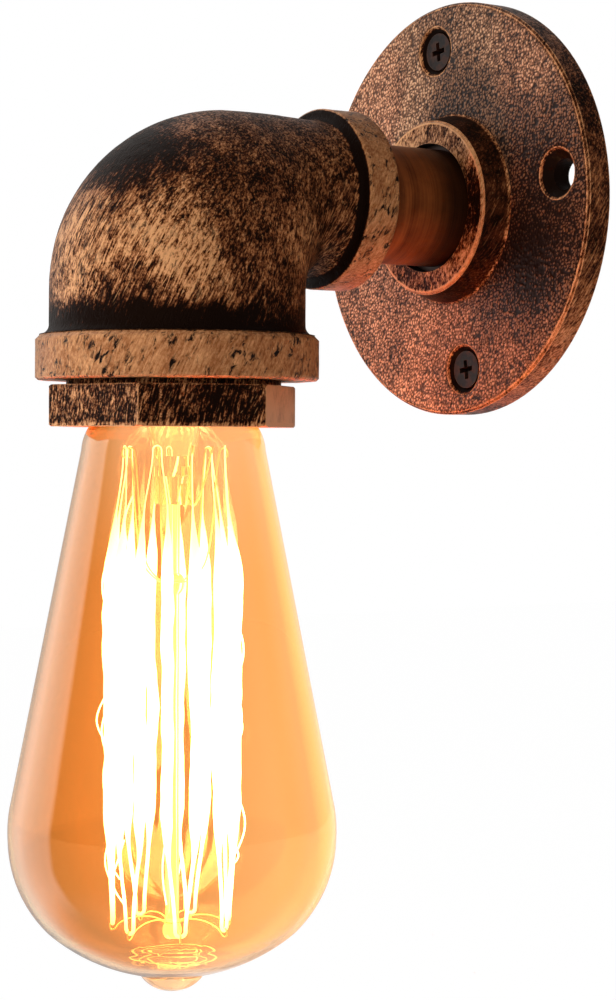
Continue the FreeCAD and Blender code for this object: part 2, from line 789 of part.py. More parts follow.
def screw_shell():
    body = new_body("screw_shell", elbow_run)
    turned(body, "shell_wall", [
        (shell_groove_radius, -shell_rim),
        (shell_outer_radius, -shell_rim),
        (shell_outer_radius, -shell_top),
        (shell_groove_radius, -shell_top),
    ], "V")
    start = thread_start + cap_pitch / 2
    embed = shell_groove_radius + shell_wall / 2
    spiral(body, "shell_thread", [
        (embed, start - shell_foot),
        (shell_groove_radius, start - shell_foot),
        (shell_ridge_radius, start - shell_crest),
        (shell_ridge_radius, start + shell_crest),
        (shell_groove_radius, start + shell_foot),
        (embed, start + shell_foot),
    ], cap_pitch, cap_pitch * (cap_turns + SPARE_TURN))
    return body


def strip(label, corners, width, centre):
    """Flat strip bent in the XZ plane, with its width along Y."""
    body = new_body(label, elbow_run)
    outline = new_sketch(body, label + "_outline", "XZ_Plane", centre + width / 2)
    draw(outline, corners)
    raised(body, label + "_strip", outline, width, back=True)
    return body


leaf_low = -cap_tip + contact_gap
leaf_top = leaf_low + strip_thick


def centre_contact():
    """Spring leaf, riveted under the holder floor, pressed up by the tip of the cap."""
    root = terminal_offset + strip_width / 2
    return strip("centre_contact", [
        (root, floor_under),
        (root, floor_under - strip_thick),
        (terminal_offset - leaf_slope_start, floor_under - strip_thick),
        (terminal_offset - leaf_slope_end, leaf_low),
        (-leaf_tip, leaf_low),
        (-leaf_tip, leaf_top),
        (terminal_offset - leaf_slope_end - leaf_fold, leaf_top),
        (terminal_offset - leaf_slope_start - leaf_fold, floor_under),
    ], strip_width, Size(0, "0"))


def side_contact():
    """Strap from the rivet under the holder floor down the inside of the screw shell."""
    wall = shell_groove_radius - strap_gap
    return strip("side_contact", [
        (-(terminal_offset - strip_width / 2), floor_under),
        (-wall, floor_under),
        (-wall, -shell_top - strap_drop),
        (-(wall - strip_thick), -shell_top - strap_drop),
        (-(wall - strip_thick), floor_under - strip_thick),
        (-(terminal_offset - strip_width / 2), floor_under - strip_thick),
    ], strip_width, Size(0, "0"))


def with_rivet_hole(body, side):
    hole = new_sketch(body, "strip_hole", "XY_Plane", floor_under)
    circle(hole, terminal_offset * side, 0, rivet_radius + core_gap)
    raised(body, "rivet_hole", hole, strip_thick + cut_past, cut=True)
    return body


def contact_rivets():
    body = new_body("contact_rivets", elbow_run)
    foot = floor_under - strip_thick
    shank = new_sketch(body, "rivet_shanks", "XY_Plane", foot)
    head = new_sketch(body, "rivet_heads", "XY_Plane", foot)
    for side in (1, -1):
        circle(shank, terminal_offset * side, 0, rivet_radius)
        circle(head, terminal_offset * side, 0, rivet_radius + rivet_head_rim)
    raised(body, "shanks", shank, holder_floor + strip_thick + rivet_top)
    raised(body, "heads", head, rivet_head, back=True)
    return body


def terminal(label, side):
    """Brass block on top of the holder: a hole for the core from the wall side, a clamp
    screw from above, and a recess below that drops over the rivet."""
    body = new_body(label, elbow_run)
    block = new_sketch(body, "block_outline", "XY_Plane", -holder_top)
    left = terminal_offset * side - terminal_width / 2
    near, far = -terminal_depth / 2, terminal_depth / 2
    draw(block, [(left, near), (left + terminal_width, near),
                 (left + terminal_width, far), (left, far)])
    raised(body, "block", block, terminal_height)
    rivet = new_sketch(body, "rivet_recess_outline", "XY_Plane", -holder_top)
    circle(rivet, terminal_offset * side, 0, rivet_radius + core_gap)
    raised(body, "rivet_recess", rivet, rivet_top + core_gap, cut=True, back=True)
    wire = new_sketch(body, "core_hole_outline", "XZ_Plane", -terminal_depth / 2)
    circle(wire, terminal_offset * side, core_height, core_radius + core_gap)
    raised(body, "core_hole", wire, terminal_depth - core_stop, cut=True, back=True)
    clamp = new_sketch(body, "clamp_hole_outline", "XY_Plane", terminal_crown)
    circle(clamp, terminal_offset * side, 0, clamp_radius + core_gap)
    raised(body, "clamp_hole", clamp, terminal_crown - core_height, cut=True)
    return body


def slotted_screw(body, x, y, seat, tip, head_up):
    """Cheese-head screw standing on seat, its shank reaching to tip."""
    way = 1 if head_up else -1
    shank = new_sketch(body, "screw_shanks", "XY_Plane", tip)
    head = new_sketch(body, "screw_heads", "XY_Plane", seat)
    slot = new_sketch(body, "screw_slots", "XY_Plane", seat + clamp_head_height * way)
    for across in x:
        circle(shank, across, y, clamp_radius)
        circle(head, across, y, clamp_head_radius)
        half, wide = clamp_head_radius + cut_past, slot_half_width
        draw(slot, [(across - half, y - wide), (across + half, y - wide),
                    (across + half, y + wide), (across - half, y + wide)])
    raised(body, "shanks", shank, (seat - tip) * way + clamp_head_height / 2, back=not head_up)
    raised(body, "heads", head, clamp_head_height, back=not head_up)
    raised(body, "slots", slot, clamp_head_height / 2, cut=True, back=not head_up)
    return body


def terminal_screws():
    body = new_body("terminal_screws", elbow_run)
    places = [terminal_offset * side for side in (1, -1)]
    return slotted_screw(body, places, Size(0, "0"), terminal_crown,
                         core_height + core_radius + inner_gap, True)


# ---------------------------------------------------------------- leads and earth
def lead(label, x, runs, tip):
    """Insulated lead in a plane beside the pipe axis: straight runs joined by tangent arcs,
    from its end inside the flange to the bare core that goes into its terminal."""
    body = new_body(label)
    route = new_sketch(body, "route", "YZ_Plane", x)
    points = [FreeCAD.Vector(as_size(a).value, as_size(b).value, 0) for a, b in runs]
    bends = [None] * len(points)
    for index in range(1, len(points) - 1):
        before = points[index].sub(points[index - 1])
        after = points[index + 1].sub(points[index])
        half_turn = before.getAngle(after) / 2
        bends[index] = 0.45 * min(before.Length, after.Length) / math.tan(half_turn)
    corner = points[0]
    count = 0
    for index in range(1, len(points)):
        toward = points[index].sub(points[index - 1]).normalize()
        if bends[index] is None:
            route.addGeometry(Part.LineSegment(corner, points[index]), False)
            count += 1
            break
        onward = points[index + 1].sub(points[index]).normalize()
        trim = bends[index] * math.tan(toward.getAngle(onward) / 2)
        start = points[index].sub(FreeCAD.Vector(toward).multiply(trim))
        end = points[index].add(FreeCAD.Vector(onward).multiply(trim))
        left = toward.x * onward.y - toward.y * onward.x
        route.addGeometry(Part.LineSegment(corner, start), False)
        route.addGeometry(arc_between(start, end, math.copysign(bends[index], left)), False)
        count += 2
        corner = end
    section = new_sketch(body, "section", "XZ_Plane", -as_size(runs[0][0]))
    circle(section, x, runs[0][1], lead_radius)
    pipe = body.newObject("PartDesign::AdditivePipe", "insulation")
    pipe.Profile = section
    pipe.Spine = (route, ["Edge%d" % (edge + 1) for edge in range(count)])
    core = new_sketch(body, "core_section", "XZ_Plane", -as_size(runs[-1][0]) - cut_past)
    circle(core, x, runs[-1][1], core_radius)
    raised(body, "bare_core", core, tip + cut_past)
    return body


def supply_lead(label, side):
    stop = elbow_run - terminal_depth / 2 - core_stop
    return lead(label, terminal_offset * side, [
        (-lead_wall_end, lead_height),
        (-lead_step_start, lead_height),
        (-lead_step_start - lead_step_length, core_height),
        (-stop, core_height),
    ], lead_core_length)


lug_top = boss_foot
lug_foot = lug_top - lug_thick
earth_height = lug_top - barrel_radius


def earth_lead():
    return lead("earth_lead", Size(0, "0"), [
        (-lead_wall_end, earth_height - earth_dip),
        (-earth_dip_start, earth_height - earth_dip),
        (-earth_dip_end, earth_height),
        (-(boss_out - lug_reach - earth_stop), earth_height),
    ], earth_core_length)


def earth_lug():
    """Ring tongue under the boss with a crimped barrel towards the pipe."""
    body = new_body("earth_lug")
    ring = new_sketch(body, "ring_outline", "XY_Plane", lug_top)
    circle(ring, 0, -boss_out, lug_radius)
    raised(body, "ring", ring, lug_thick, back=True)
    tongue = new_sketch(body, "tongue_outline", "XY_Plane", lug_top)
    half, tongue_end = tongue_half_width, -boss_out + lug_reach - barrel_length + cut_past
    draw(tongue, [(-half, -boss_out), (half, -boss_out), (half, tongue_end), (-half, tongue_end)])
    raised(body, "tongue", tongue, lug_thick, back=True)
    barrel = new_sketch(body, "barrel_outline", "XZ_Plane", boss_out - lug_reach)
    circle(barrel, 0, earth_height, barrel_radius)
    raised(body, "barrel", barrel, barrel_length)
    bore = new_sketch(body, "bore_outline", "XZ_Plane", boss_out - lug_reach)
    circle(bore, 0, earth_height, core_radius + core_gap)
    raised(body, "bore", bore, barrel_length - barrel_floor, cut=True, back=True)
    hole = new_sketch(body, "hole_outline", "XY_Plane", lug_top)
    circle(hole, 0, -boss_out, clamp_radius + core_gap)
    raised(body, "hole", hole, lug_thick + cut_past, cut=True)
    return body


def earth_screw():
    body = new_body("earth_screw")
    return slotted_screw(body, [Size(0, "0")], -boss_out, lug_foot, boss_top - cut_past, False)


# ---------------------------------------------------------------- bulb
def bulb_glass():
    """Blown envelope: neck, straight cone, full belly and a round tip, one wall thick."""
    body = new_body("bulb_glass", elbow_run)
    wall = glass_wall
    neck_top = cap_rim - cap_skirt + neck_entry
    neck_end = cap_rim + neck_start
    nub_neck = nub_radius - nub_step
    turned(body, "envelope", [
        (neck_glass_radius - neck_lip, -neck_top),
        (neck_glass_radius, -neck_end),
        (neck_foot_radius, -neck_foot, -neck_curve),
        (cone_top_radius, -cone_top),
        (cone_end_radius, -cone_end, -belly_curve),
        (belly_glass_radius, -belly_height, -belly_curve),
        (heel_radius, -heel_height, -heel_curve),
        (nub_radius, -nub_height, nub_step_curve),
        (nub_neck, -nub_height - nub_step_drop, -nub_curve),
        (0, -bulb_end),
        (0, -bulb_end + 2 * wall),
        (nub_neck, -nub_height + nub_step_drop * wall, heel_curve - wall),
        (heel_radius - wall, -heel_height + wall, belly_curve - wall),
        (belly_glass_radius - wall, -belly_height, belly_curve - wall),
        (cone_end_radius - wall, -cone_end),
        (cone_top_radius - wall, -cone_top, neck_curve + wall),
        (neck_foot_radius - wall, -neck_foot),
        (neck_glass_radius - wall, -neck_end),
        (neck_glass_radius - wall - neck_lip, -neck_top),
    ], "V")
    return body


def cap_shell():
    body = new_body("cap_shell", elbow_run)
    inner = cap_root_radius - cap_wall
    skirt_top = -(cap_rim - cap_skirt)
    turned(body, "cap_wall", [
        (cap_skirt_radius - cap_wall, -cap_rim),
        (cap_skirt_radius, -cap_rim),
        (cap_skirt_radius, skirt_top - skirt_slope),
        (cap_root_radius, skirt_top),
        (cap_root_radius, -cap_shoulder - shoulder_bevel),
        (cap_root_radius - shoulder_bevel, -cap_shoulder),
        (inner - shoulder_lip, -cap_shoulder),
        (inner - shoulder_lip, -cap_shoulder - cap_wall),
        (inner, -cap_shoulder - cap_wall),
        (inner, skirt_top),
        (cap_skirt_radius - cap_wall, skirt_top - skirt_slope),
    ], "V")
    embed = cap_root_radius - cap_wall / 2
    spiral(body, "cap_thread", [
        (embed, thread_start - ridge_foot),
        (cap_root_radius, thread_start - ridge_foot),
        (cap_crest_radius, thread_start - ridge_crest),
        (cap_crest_radius, thread_start + ridge_crest),
        (cap_root_radius, thread_start + ridge_foot),
        (embed, thread_start + ridge_foot),
    ], cap_pitch, cap_pitch * cap_turns)
    return body


insulator_top = -(cap_tip + cap_tip_thick)


def cap_insulator():
    body = new_body("cap_insulator", elbow_run)
    edge = cap_root_radius - cap_wall - shoulder_lip
    turned(body, "insulator_cone", [
        (insulator_hole_radius, -cap_shoulder),
        (edge, -cap_shoulder),
        (cap_tip_radius + insulator_rim, insulator_top),
        (insulator_hole_radius, insulator_top),
    ], "V")
    return body


def cap_tip_contact():
    body = new_body("cap_tip_contact", elbow_run)
    round_edge = cap_tip_thick / 2
    turned(body, "contact_button", [
        (0, insulator_top),
        (cap_tip_radius, insulator_top),
        (cap_tip_radius - round_edge, -cap_tip),
        (0, -cap_tip),
    ], "V")
    return body


def glass_stem():
    """Flared tube sealed in the neck, pressed flat at its lower end round the wires."""
    body = new_body("glass_stem", elbow_run)
    flare_out = neck_glass_radius - glass_wall - inner_gap
    flare_top = -cap_rim - stem_flare_drop
    waist = flare_top - stem_waist_drop
    web_top, web_foot = pinch_web - pinch_top, -pinch_top - pinch_web
    turned(body, "flare", [
        (0, web_foot),
        (stem_radius, web_foot),
        (stem_radius, web_top),
        (stem_radius + stem_wall, waist, -stem_curve),
        (flare_out, flare_top),
        (flare_out - stem_flare_edge, flare_top, stem_curve - stem_flare_edge),
        (stem_radius, waist),
        (stem_radius - stem_wall, web_top),
        (0, web_top),
    ], "V")
    press = new_sketch(body, "press_outline", "XY_Plane", -pinch_end)
    half, deep = pinch_width / 2, pinch_thick / 2
    draw(press, [(-half, -deep), (half, -deep), (half, deep), (-half, deep)])
    raised(body, "press", press, pinch_end - pinch_top)
    return body


def centre_rod():
    """Glass rod down the middle of the cage with a bead at each set of supports."""
    body = new_body("centre_rod", elbow_run)
    turned(body, "rod", [
        (0, -rod_end),
        (rod_radius, -rod_end, bead_radius),
        (rod_radius, lower_bead_length - rod_end),
        (rod_radius, -upper_bead - bead_length / 2, bead_radius),
        (rod_radius, -upper_bead + bead_length / 2),
        (rod_radius, -pinch_end),
        (0, -pinch_end),
    ], "V")
    return body


def leg_place(leg):
    """Place of a leg of the cage, half a step round from the first support."""
    angle = 2 * math.pi * (leg + 0.5) / CAGE_LEGS
    return math.cos(angle), math.sin(angle)


def leg_spacing():
    return 2 * cage_radius.value * math.sin(math.pi / CAGE_LEGS)


def bulb_place():
    return FreeCAD.Placement(FreeCAD.Vector(0, -elbow_run.value, 0), FreeCAD.Rotation())


def tube_along(edges, radius):
    wire = Part.Wire(edges)
    start = edges[0].valueAt(edges[0].FirstParameter)
    along = edges[0].tangentAt(edges[0].FirstParameter)
    section = Part.Wire(Part.makeCircle(radius, start, along))
    return wire.makePipeShell([section], True, False)


def formed(label, shape):
    """Piece of bent wire: its shape is made in its own frame and then placed."""
    piece = DOC.addObject("Part::Feature", label)
    piece.Label = label
    piece.Shape = shape
    piece.Placement = bulb_place()
    piece.setExpression("Placement.Base.y", (-elbow_run).text)
    return piece


def filament():
    """One wire that runs up and down the cage, turning round a hook at each end of a leg."""
    radius = cage_radius.value
    turn = leg_spacing() / 2
    top, low = -cage_top.value - turn, -cage_end.value + turn
    edges = []
    for leg in range(CAGE_LEGS):
        cos_a, sin_a = leg_place(leg)
        upper = FreeCAD.Vector(radius * cos_a, radius * sin_a, top)
        lower = FreeCAD.Vector(radius * cos_a, radius * sin_a, low)
        first, last = (upper, lower) if leg % 2 == 0 else (lower, upper)
        edges.append(Part.makeLine(first, last))
        if leg < CAGE_LEGS - 1:
            cos_b, sin_b = leg_place(leg + 1)
            beyond = FreeCAD.Vector(radius * cos_b, radius * sin_b, last.z)
            drop = -turn if leg % 2 == 0 else turn
            middle = last.add(beyond).multiply(0.5).add(FreeCAD.Vector(0, 0, drop))
            edges.append(Part.Arc(last, middle, beyond).toShape())
    return formed("filament", tube_along(edges, filament_radius.value))


def hook_angles(upper):
    """Directions of the hooks: between the two legs that each one holds."""
    if upper:
        return [2 * math.pi * (leg + 1) / CAGE_LEGS for leg in range(1, CAGE_LEGS - 1, 2)]
    return [2 * math.pi * (leg + 1) / CAGE_LEGS for leg in range(0, CAGE_LEGS, 2)]


def spokes(label, upper, root_height, tip_height):
    """Support wires from a bead out to the turns of the filament, joined by a small ring
    round the bead."""
    bead = bead_radius.value
    radius = support_radius.value
    chord = cage_radius.value * math.cos(math.pi / CAGE_LEGS)
    reach = chord - filament_radius.value - radius - hook_gap.value
    pieces = [Part.makeTorus(bead + radius, radius * RING_SHARE, FreeCAD.Vector(0, 0, root_height))]
    for angle in hook_angles(upper):
        toward = FreeCAD.Vector(math.cos(angle), math.sin(angle), 0)
        root = FreeCAD.Vector(toward).multiply(bead + radius)
        root.z = root_height
        tip = FreeCAD.Vector(toward).multiply(reach)
        tip.z = tip_height
        along = tip.sub(root)
        pieces.append(Part.makeCylinder(radius, along.Length, root, along))
        pieces.append(Part.makeSphere(radius * HOOK_SHARE, tip))
    whole = pieces[0].fuse(pieces[1:])
    return formed(label, whole.removeSplitter())


def upper_supports():
    return spokes("upper_supports", True, -upper_bead.value, -cage_top.value - leg_spacing() / 2)


def lower_supports():
    root_height = (lower_bead_length / 2 - rod_end).value
    return spokes("lower_supports", False, root_height, -cage_end.value + leg_spacing() / 2)


def lead_in_wires():
    """Two wires from the press out to the first and last legs of the filament."""
    shapes = []
    radius = support_radius.value
    rise = lead_in_rise.value
    top = -cage_top.value - leg_spacing() / 2 + filament_radius.value
    across = pinch_width.value / 2 + radius
    up = rise - pinch_end.value
    for leg in (0, CAGE_LEGS - 1):
        cos_a, sin_a = leg_place(leg)
        tip = FreeCAD.Vector(cage_radius.value * cos_a, cage_radius.value * sin_a, top)
        root = FreeCAD.Vector(across, math.copysign(rise, sin_a), up)
        knee = tip.add(FreeCAD.Vector(0, 0, rise))
        reach = knee.sub(root)
        slope = Part.makeCylinder(radius, reach.Length, root, reach)
        foot = Part.makeCylinder(radius, rise, tip, FreeCAD.Vector(0, 0, 1))
        shapes.append(slope.fuse([foot, Part.makeSphere(radius, knee)]).removeSplitter())
    return formed("lead_in_wires", Part.makeCompound(shapes))


# ---------------------------------------------------------------- the whole light
def main():
    pieces = [
        wall_flange(), wall_screws(), pipe_nipple(),
        reducing_elbow(), hex_bushing(),
        lampholder_body(), sealing_washer(), screw_shell(),
        with_rivet_hole(centre_contact(), 1), with_rivet_hole(side_contact(), -1),
        contact_rivets(), terminal("live_terminal", 1), terminal("neutral_terminal", -1),
        terminal_screws(), supply_lead("live_lead", 1), supply_lead("neutral_lead", -1),
        earth_lead(), earth_lug(), earth_screw(),
        bulb_glass(), cap_shell(), cap_insulator(), cap_tip_contact(),
        glass_stem(), centre_rod(), filament(), upper_supports(), lower_supports(),
        lead_in_wires(),
    ]
    DOC.recompute()
    for item in DOC.Objects:
        if "Invalid" in item.State or "Error" in item.State:
            raise RuntimeError("%s failed: %s" % (item.Label, item.State))
    for piece in pieces:
        if piece.Shape.isNull() or not piece.Shape.isValid():
            raise RuntimeError(piece.Label + " has no valid shape")
    os.makedirs("parts", exist_ok=True)
    for piece in pieces:
        piece.Shape.exportStep("parts/%s.step" % piece.Label)
        box = piece.Shape.BoundBox
        print("%-18s solids %d volume %9.1f  x %7.2f %7.2f  y %7.2f %7.2f  z %7.2f %7.2f" % (
            piece.Label, len(piece.Shape.Solids), piece.Shape.Volume,
            box.XMin, box.XMax, box.YMin, box.YMax, box.ZMin, box.ZMax))


main()
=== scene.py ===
"""Looks of the pipe wall light: materials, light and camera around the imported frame."""
import math
import random

import bmesh
import bpy
from mathutils import Matrix, Vector, noise


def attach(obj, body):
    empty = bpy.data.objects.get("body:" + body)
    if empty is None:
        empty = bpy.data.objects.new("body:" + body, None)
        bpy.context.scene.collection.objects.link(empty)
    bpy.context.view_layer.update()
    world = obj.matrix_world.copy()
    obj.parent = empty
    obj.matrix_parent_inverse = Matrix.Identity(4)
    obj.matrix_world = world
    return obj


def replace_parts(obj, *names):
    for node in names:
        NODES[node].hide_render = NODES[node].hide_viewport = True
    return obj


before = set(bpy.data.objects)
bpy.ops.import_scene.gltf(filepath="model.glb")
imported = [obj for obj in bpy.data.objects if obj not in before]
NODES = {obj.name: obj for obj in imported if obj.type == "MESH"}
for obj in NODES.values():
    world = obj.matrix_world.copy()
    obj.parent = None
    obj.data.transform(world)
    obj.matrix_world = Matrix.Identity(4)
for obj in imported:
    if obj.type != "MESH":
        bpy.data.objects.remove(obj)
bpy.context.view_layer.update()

MM = 0.001
FULL_TURN = 2 * math.pi

# Places on the solids, in millimetres: y is 0 on the wall and falls toward the room, and z is 0
# on the pipe's axis.
BULB_OUT = 75.4
BULB_AXIS = Vector((0.0, -BULB_OUT, 0.0))
FACE_LEVEL = -6.1
HUB_LEVEL = -12.2
HOLE_PLACES = ((33.8, 4.87), (-4.87, 33.8), (-33.8, -4.87), (4.87, -33.8))
LOW_BAND = -28.3
SIDE_BAND = -41.35

# ------------------------------------------------------------------ camera
AZIMUTH = math.radians(53.61)
ELEVATION = math.radians(1.27)
ROLL = math.radians(0.245)
DISTANCE = 0.5148
TARGET = Vector((0.0, -0.04276, -0.06095))
FOCAL_PIXELS = 2535.9
FRAME_HEIGHT = 1000
SENSOR = 36.0

BACK = Vector((math.sin(AZIMUTH) * math.cos(ELEVATION),
               -math.cos(AZIMUTH) * math.cos(ELEVATION), math.sin(ELEVATION)))
RIGHT = Vector((math.cos(AZIMUTH), math.sin(AZIMUTH), 0.0))
UP = BACK.cross(RIGHT)


def make_camera():
    """The photograph's viewing angle and framing."""
    data = bpy.data.cameras.new("photo_camera")
    data.sensor_width = SENSOR
    data.lens = SENSOR * FOCAL_PIXELS / FRAME_HEIGHT
    data.clip_start, data.clip_end = 0.01, 10.0
    camera = bpy.data.objects.new("photo_camera", data)
    across = RIGHT * math.cos(ROLL) + UP * math.sin(ROLL)
    above = UP * math.cos(ROLL) - RIGHT * math.sin(ROLL)
    turn = Matrix((across, above, BACK)).transposed()
    camera.matrix_world = Matrix.Translation(TARGET + BACK * DISTANCE) @ turn.to_4x4()
    bpy.context.scene.collection.objects.link(camera)
    bpy.context.scene.camera = camera


# ------------------------------------------------------------------ node helpers
class Nodes:
    """Short names for building a node tree."""

    def __init__(self, tree):
        self.tree = tree
        tree.nodes.clear()

    def node(self, kind, **settings):
        made = self.tree.nodes.new("ShaderNode" + kind)
        for name, value in settings.items():
            setattr(made, name, value)
        return made

    def link(self, source, target):
        self.tree.links.new(source, target)

    def feed(self, socket, value):
        """A number, a vector or colour of three, or another node's output."""
        if isinstance(value, (int, float)):
            socket.default_value = value
        elif isinstance(value, (tuple, Vector)):
            width = len(socket.default_value)
            socket.default_value = (*value, 1.0) if width == 4 else tuple(value)
        else:
            self.link(value, socket)

    def dot(self, vector, direction):
        made = self.node("VectorMath", operation="DOT_PRODUCT")
        self.feed(made.inputs[0], vector)
        self.feed(made.inputs[1], Vector(direction).normalized())
        return made.outputs["Value"]

    def span(self, value, low, high, out_low=0.0, out_high=1.0, soft=False):
        """Goes from out_low to out_high while the value goes from low to high."""
        made = self.node("MapRange", clamp=True)
        if soft:
            made.interpolation_type = "SMOOTHSTEP"
        for name, number in (("From Min", low), ("From Max", high), ("To Min", out_low),
                             ("To Max", out_high), ("Value", value)):
            self.feed(made.inputs[name], number)
        return made.outputs["Result"]

    def math(self, operation, first, second):
        made = self.node("Math", operation=operation)
        self.feed(made.inputs[0], first)
        self.feed(made.inputs[1], second)
        return made.outputs[0]

    def chain(self, operation, values):
        result = values[0]
        for value in values[1:]:
            result = self.math(operation, result, value)
        return result

    def total(self, *values):
        return self.chain("ADD", values)

    def times(self, *values):
        return self.chain("MULTIPLY", values)

    def most(self, *values):
        return self.chain("MAXIMUM", values)

    def least(self, *values):
        return self.chain("MINIMUM", values)

    def less(self, first, second):
        return self.math("SUBTRACT", first, second)

    def blend(self, share, first, second):
        """Mixes two shaders."""
        made = self.node("MixShader")
        self.feed(made.inputs[0], share)
        self.link(first.outputs[0], made.inputs[1])
        self.link(second.outputs[0], made.inputs[2])
        return made


class Shader(Nodes):
    """One material's node tree, in the part's own coordinates."""

    def __init__(self, name):
        self.material = bpy.data.materials.new(name)
        self.material.use_nodes = True
        super().__init__(self.material.node_tree)
        self.output = self.node("OutputMaterial")
        self.spot = self.node("TexCoord")

    @property
    def here(self):
        return self.spot.outputs["Object"]

    def axis(self, name):
        made = self.node("SeparateXYZ")
        self.link(self.here, made.inputs[0])
        return made.outputs[name]

    def facing(self, direction):
        """1 where the surface faces that way, 0 where it leans more than a little."""
        return self.span(self.dot(self.spot.outputs["Normal"], direction), 0.8, 0.95)

    def squeezed(self, scale):
        made = self.node("VectorMath", operation="MULTIPLY")
        self.feed(made.inputs[0], self.here)
        self.feed(made.inputs[1], scale)
        return made.outputs[0]

    def brushed(self, direction, squeeze):
        """Coordinates drawn out along one direction, for strokes that lie along it."""
        along = Vector(direction).normalized()
        aside = along.orthogonal().normalized()
        made = self.node("CombineXYZ")
        self.link(self.times(self.dot(self.here, along), squeeze), made.inputs[0])
        self.link(self.dot(self.here, aside), made.inputs[1])
        self.link(self.dot(self.here, along.cross(aside)), made.inputs[2])
        return made.outputs[0]

    def noise(self, where, scale, detail, rough, distort=0.0):
        made = self.node("TexNoise")
        for name, value in (("Scale", scale), ("Detail", detail), ("Roughness", rough),
                            ("Distortion", distort), ("Vector", where)):
            self.feed(made.inputs[name], value)
        return made.outputs["Fac"]

    def reach(self, value, start, full, low=0.0, high=1.0, soft=False):
        """A span with its limits in millimetres."""
        return self.span(value, start * MM, full * MM, low, high, soft)

    def mix(self, share, first, second):
        """Mixes two colours."""
        made = self.node("Mix", data_type="RGBA")
        self.feed(made.inputs[0], share)
        self.feed(made.inputs[6], first)
        self.feed(made.inputs[7], second)
        return made.outputs[2]

    def blob(self, centre, radius, height):
        """A soft round area of the part, centre and radius in millimetres."""
        made = self.node("VectorMath", operation="DISTANCE")
        self.feed(made.inputs[0], self.here)
        self.feed(made.inputs[1], Vector(centre) * MM)
        return self.reach(made.outputs["Value"], 0.25 * radius, radius, height, 0.0, True)

    def blobs(self, *rows):
        return self.total(*[self.blob(*row) for row in rows])

    def round_axis(self, centre):
        """Distance from a line: centre gives two coordinates, and None where the line runs."""
        keep = Vector([0 if value is None else 1 for value in centre])
        middle = Vector([0 if value is None else value * MM for value in centre])
        made = self.node("VectorMath", operation="DISTANCE")
        self.link(self.squeezed(keep), made.inputs[0])
        self.feed(made.inputs[1], middle)
        return made.outputs["Value"]

    def edges(self, radius, low=0.04, high=0.22):
        """1 on sharp outer edges, from how far a rounded normal leans from the true one."""
        rounded = self.node("Bevel", samples=6)
        rounded.inputs["Radius"].default_value = radius * MM
        plain = self.node("NewGeometry")
        lean = self.node("VectorMath", operation="DISTANCE")
        self.link(rounded.outputs[0], lean.inputs[0])
        self.link(plain.outputs["Normal"], lean.inputs[1])
        return self.times(self.span(lean.outputs["Value"], low, high),
                          self.open_air(1.2, 0.8, 0.97))

    def open_air(self, distance, low, high):
        """1 in the open, 0 down in corners and grooves."""
        made = self.node("AmbientOcclusion", samples=6, only_local=True)
        made.inputs["Distance"].default_value = distance * MM
        return self.span(made.outputs["AO"], low, high)

    def bump(self, height, strength, distance, before=None):
        made = self.node("Bump")
        made.inputs["Strength"].default_value = strength
        made.inputs["Distance"].default_value = distance * MM
        self.link(height, made.inputs["Height"])
        if before is not None:
            self.link(before, made.inputs["Normal"])
        return made.outputs["Normal"]

    def surface(self, **values):
        made = self.node("BsdfPrincipled")
        for name, value in values.items():
            self.feed(made.inputs[name.replace("_", " ")], value)
        self.link(made.outputs[0], self.output.inputs["Surface"])
        return made

    def silent(self):
        """The glow is seen but doesn't count as a lamp: the lamps give its light."""
        self.material.cycles.emission_sampling = "NONE"


# ------------------------------------------------------------------ metals
BLACK = (0.007, 0.0032, 0.0020)
BROWN = (0.058, 0.0165, 0.0065)
COPPER = (0.30, 0.115, 0.043)
BRIGHT = (0.70, 0.36, 0.165)
PAINT_STOPS = ((0.37, BROWN), (0.59, COPPER), (0.88, BRIGHT))

# Directions of the brush strokes
STROKE = (0.25, 0.34, 0.906)
LOOSE_STROKE = (0.05, 0.55, 0.83)
HAIR_STROKE = (0.42, 0.30, 0.86)
HEX_STROKE = (0.1, 0.2, 0.97)

# Outward directions of the bushing's three faces in view, which make the paint lighter or darker
# as painted light and shade
HEX_LEFT = (0.19, -0.98, 0.0)
HEX_MAIN = (0.95, -0.32, 0.0)
HEX_RIGHT = (0.75, 0.66, 0.0)


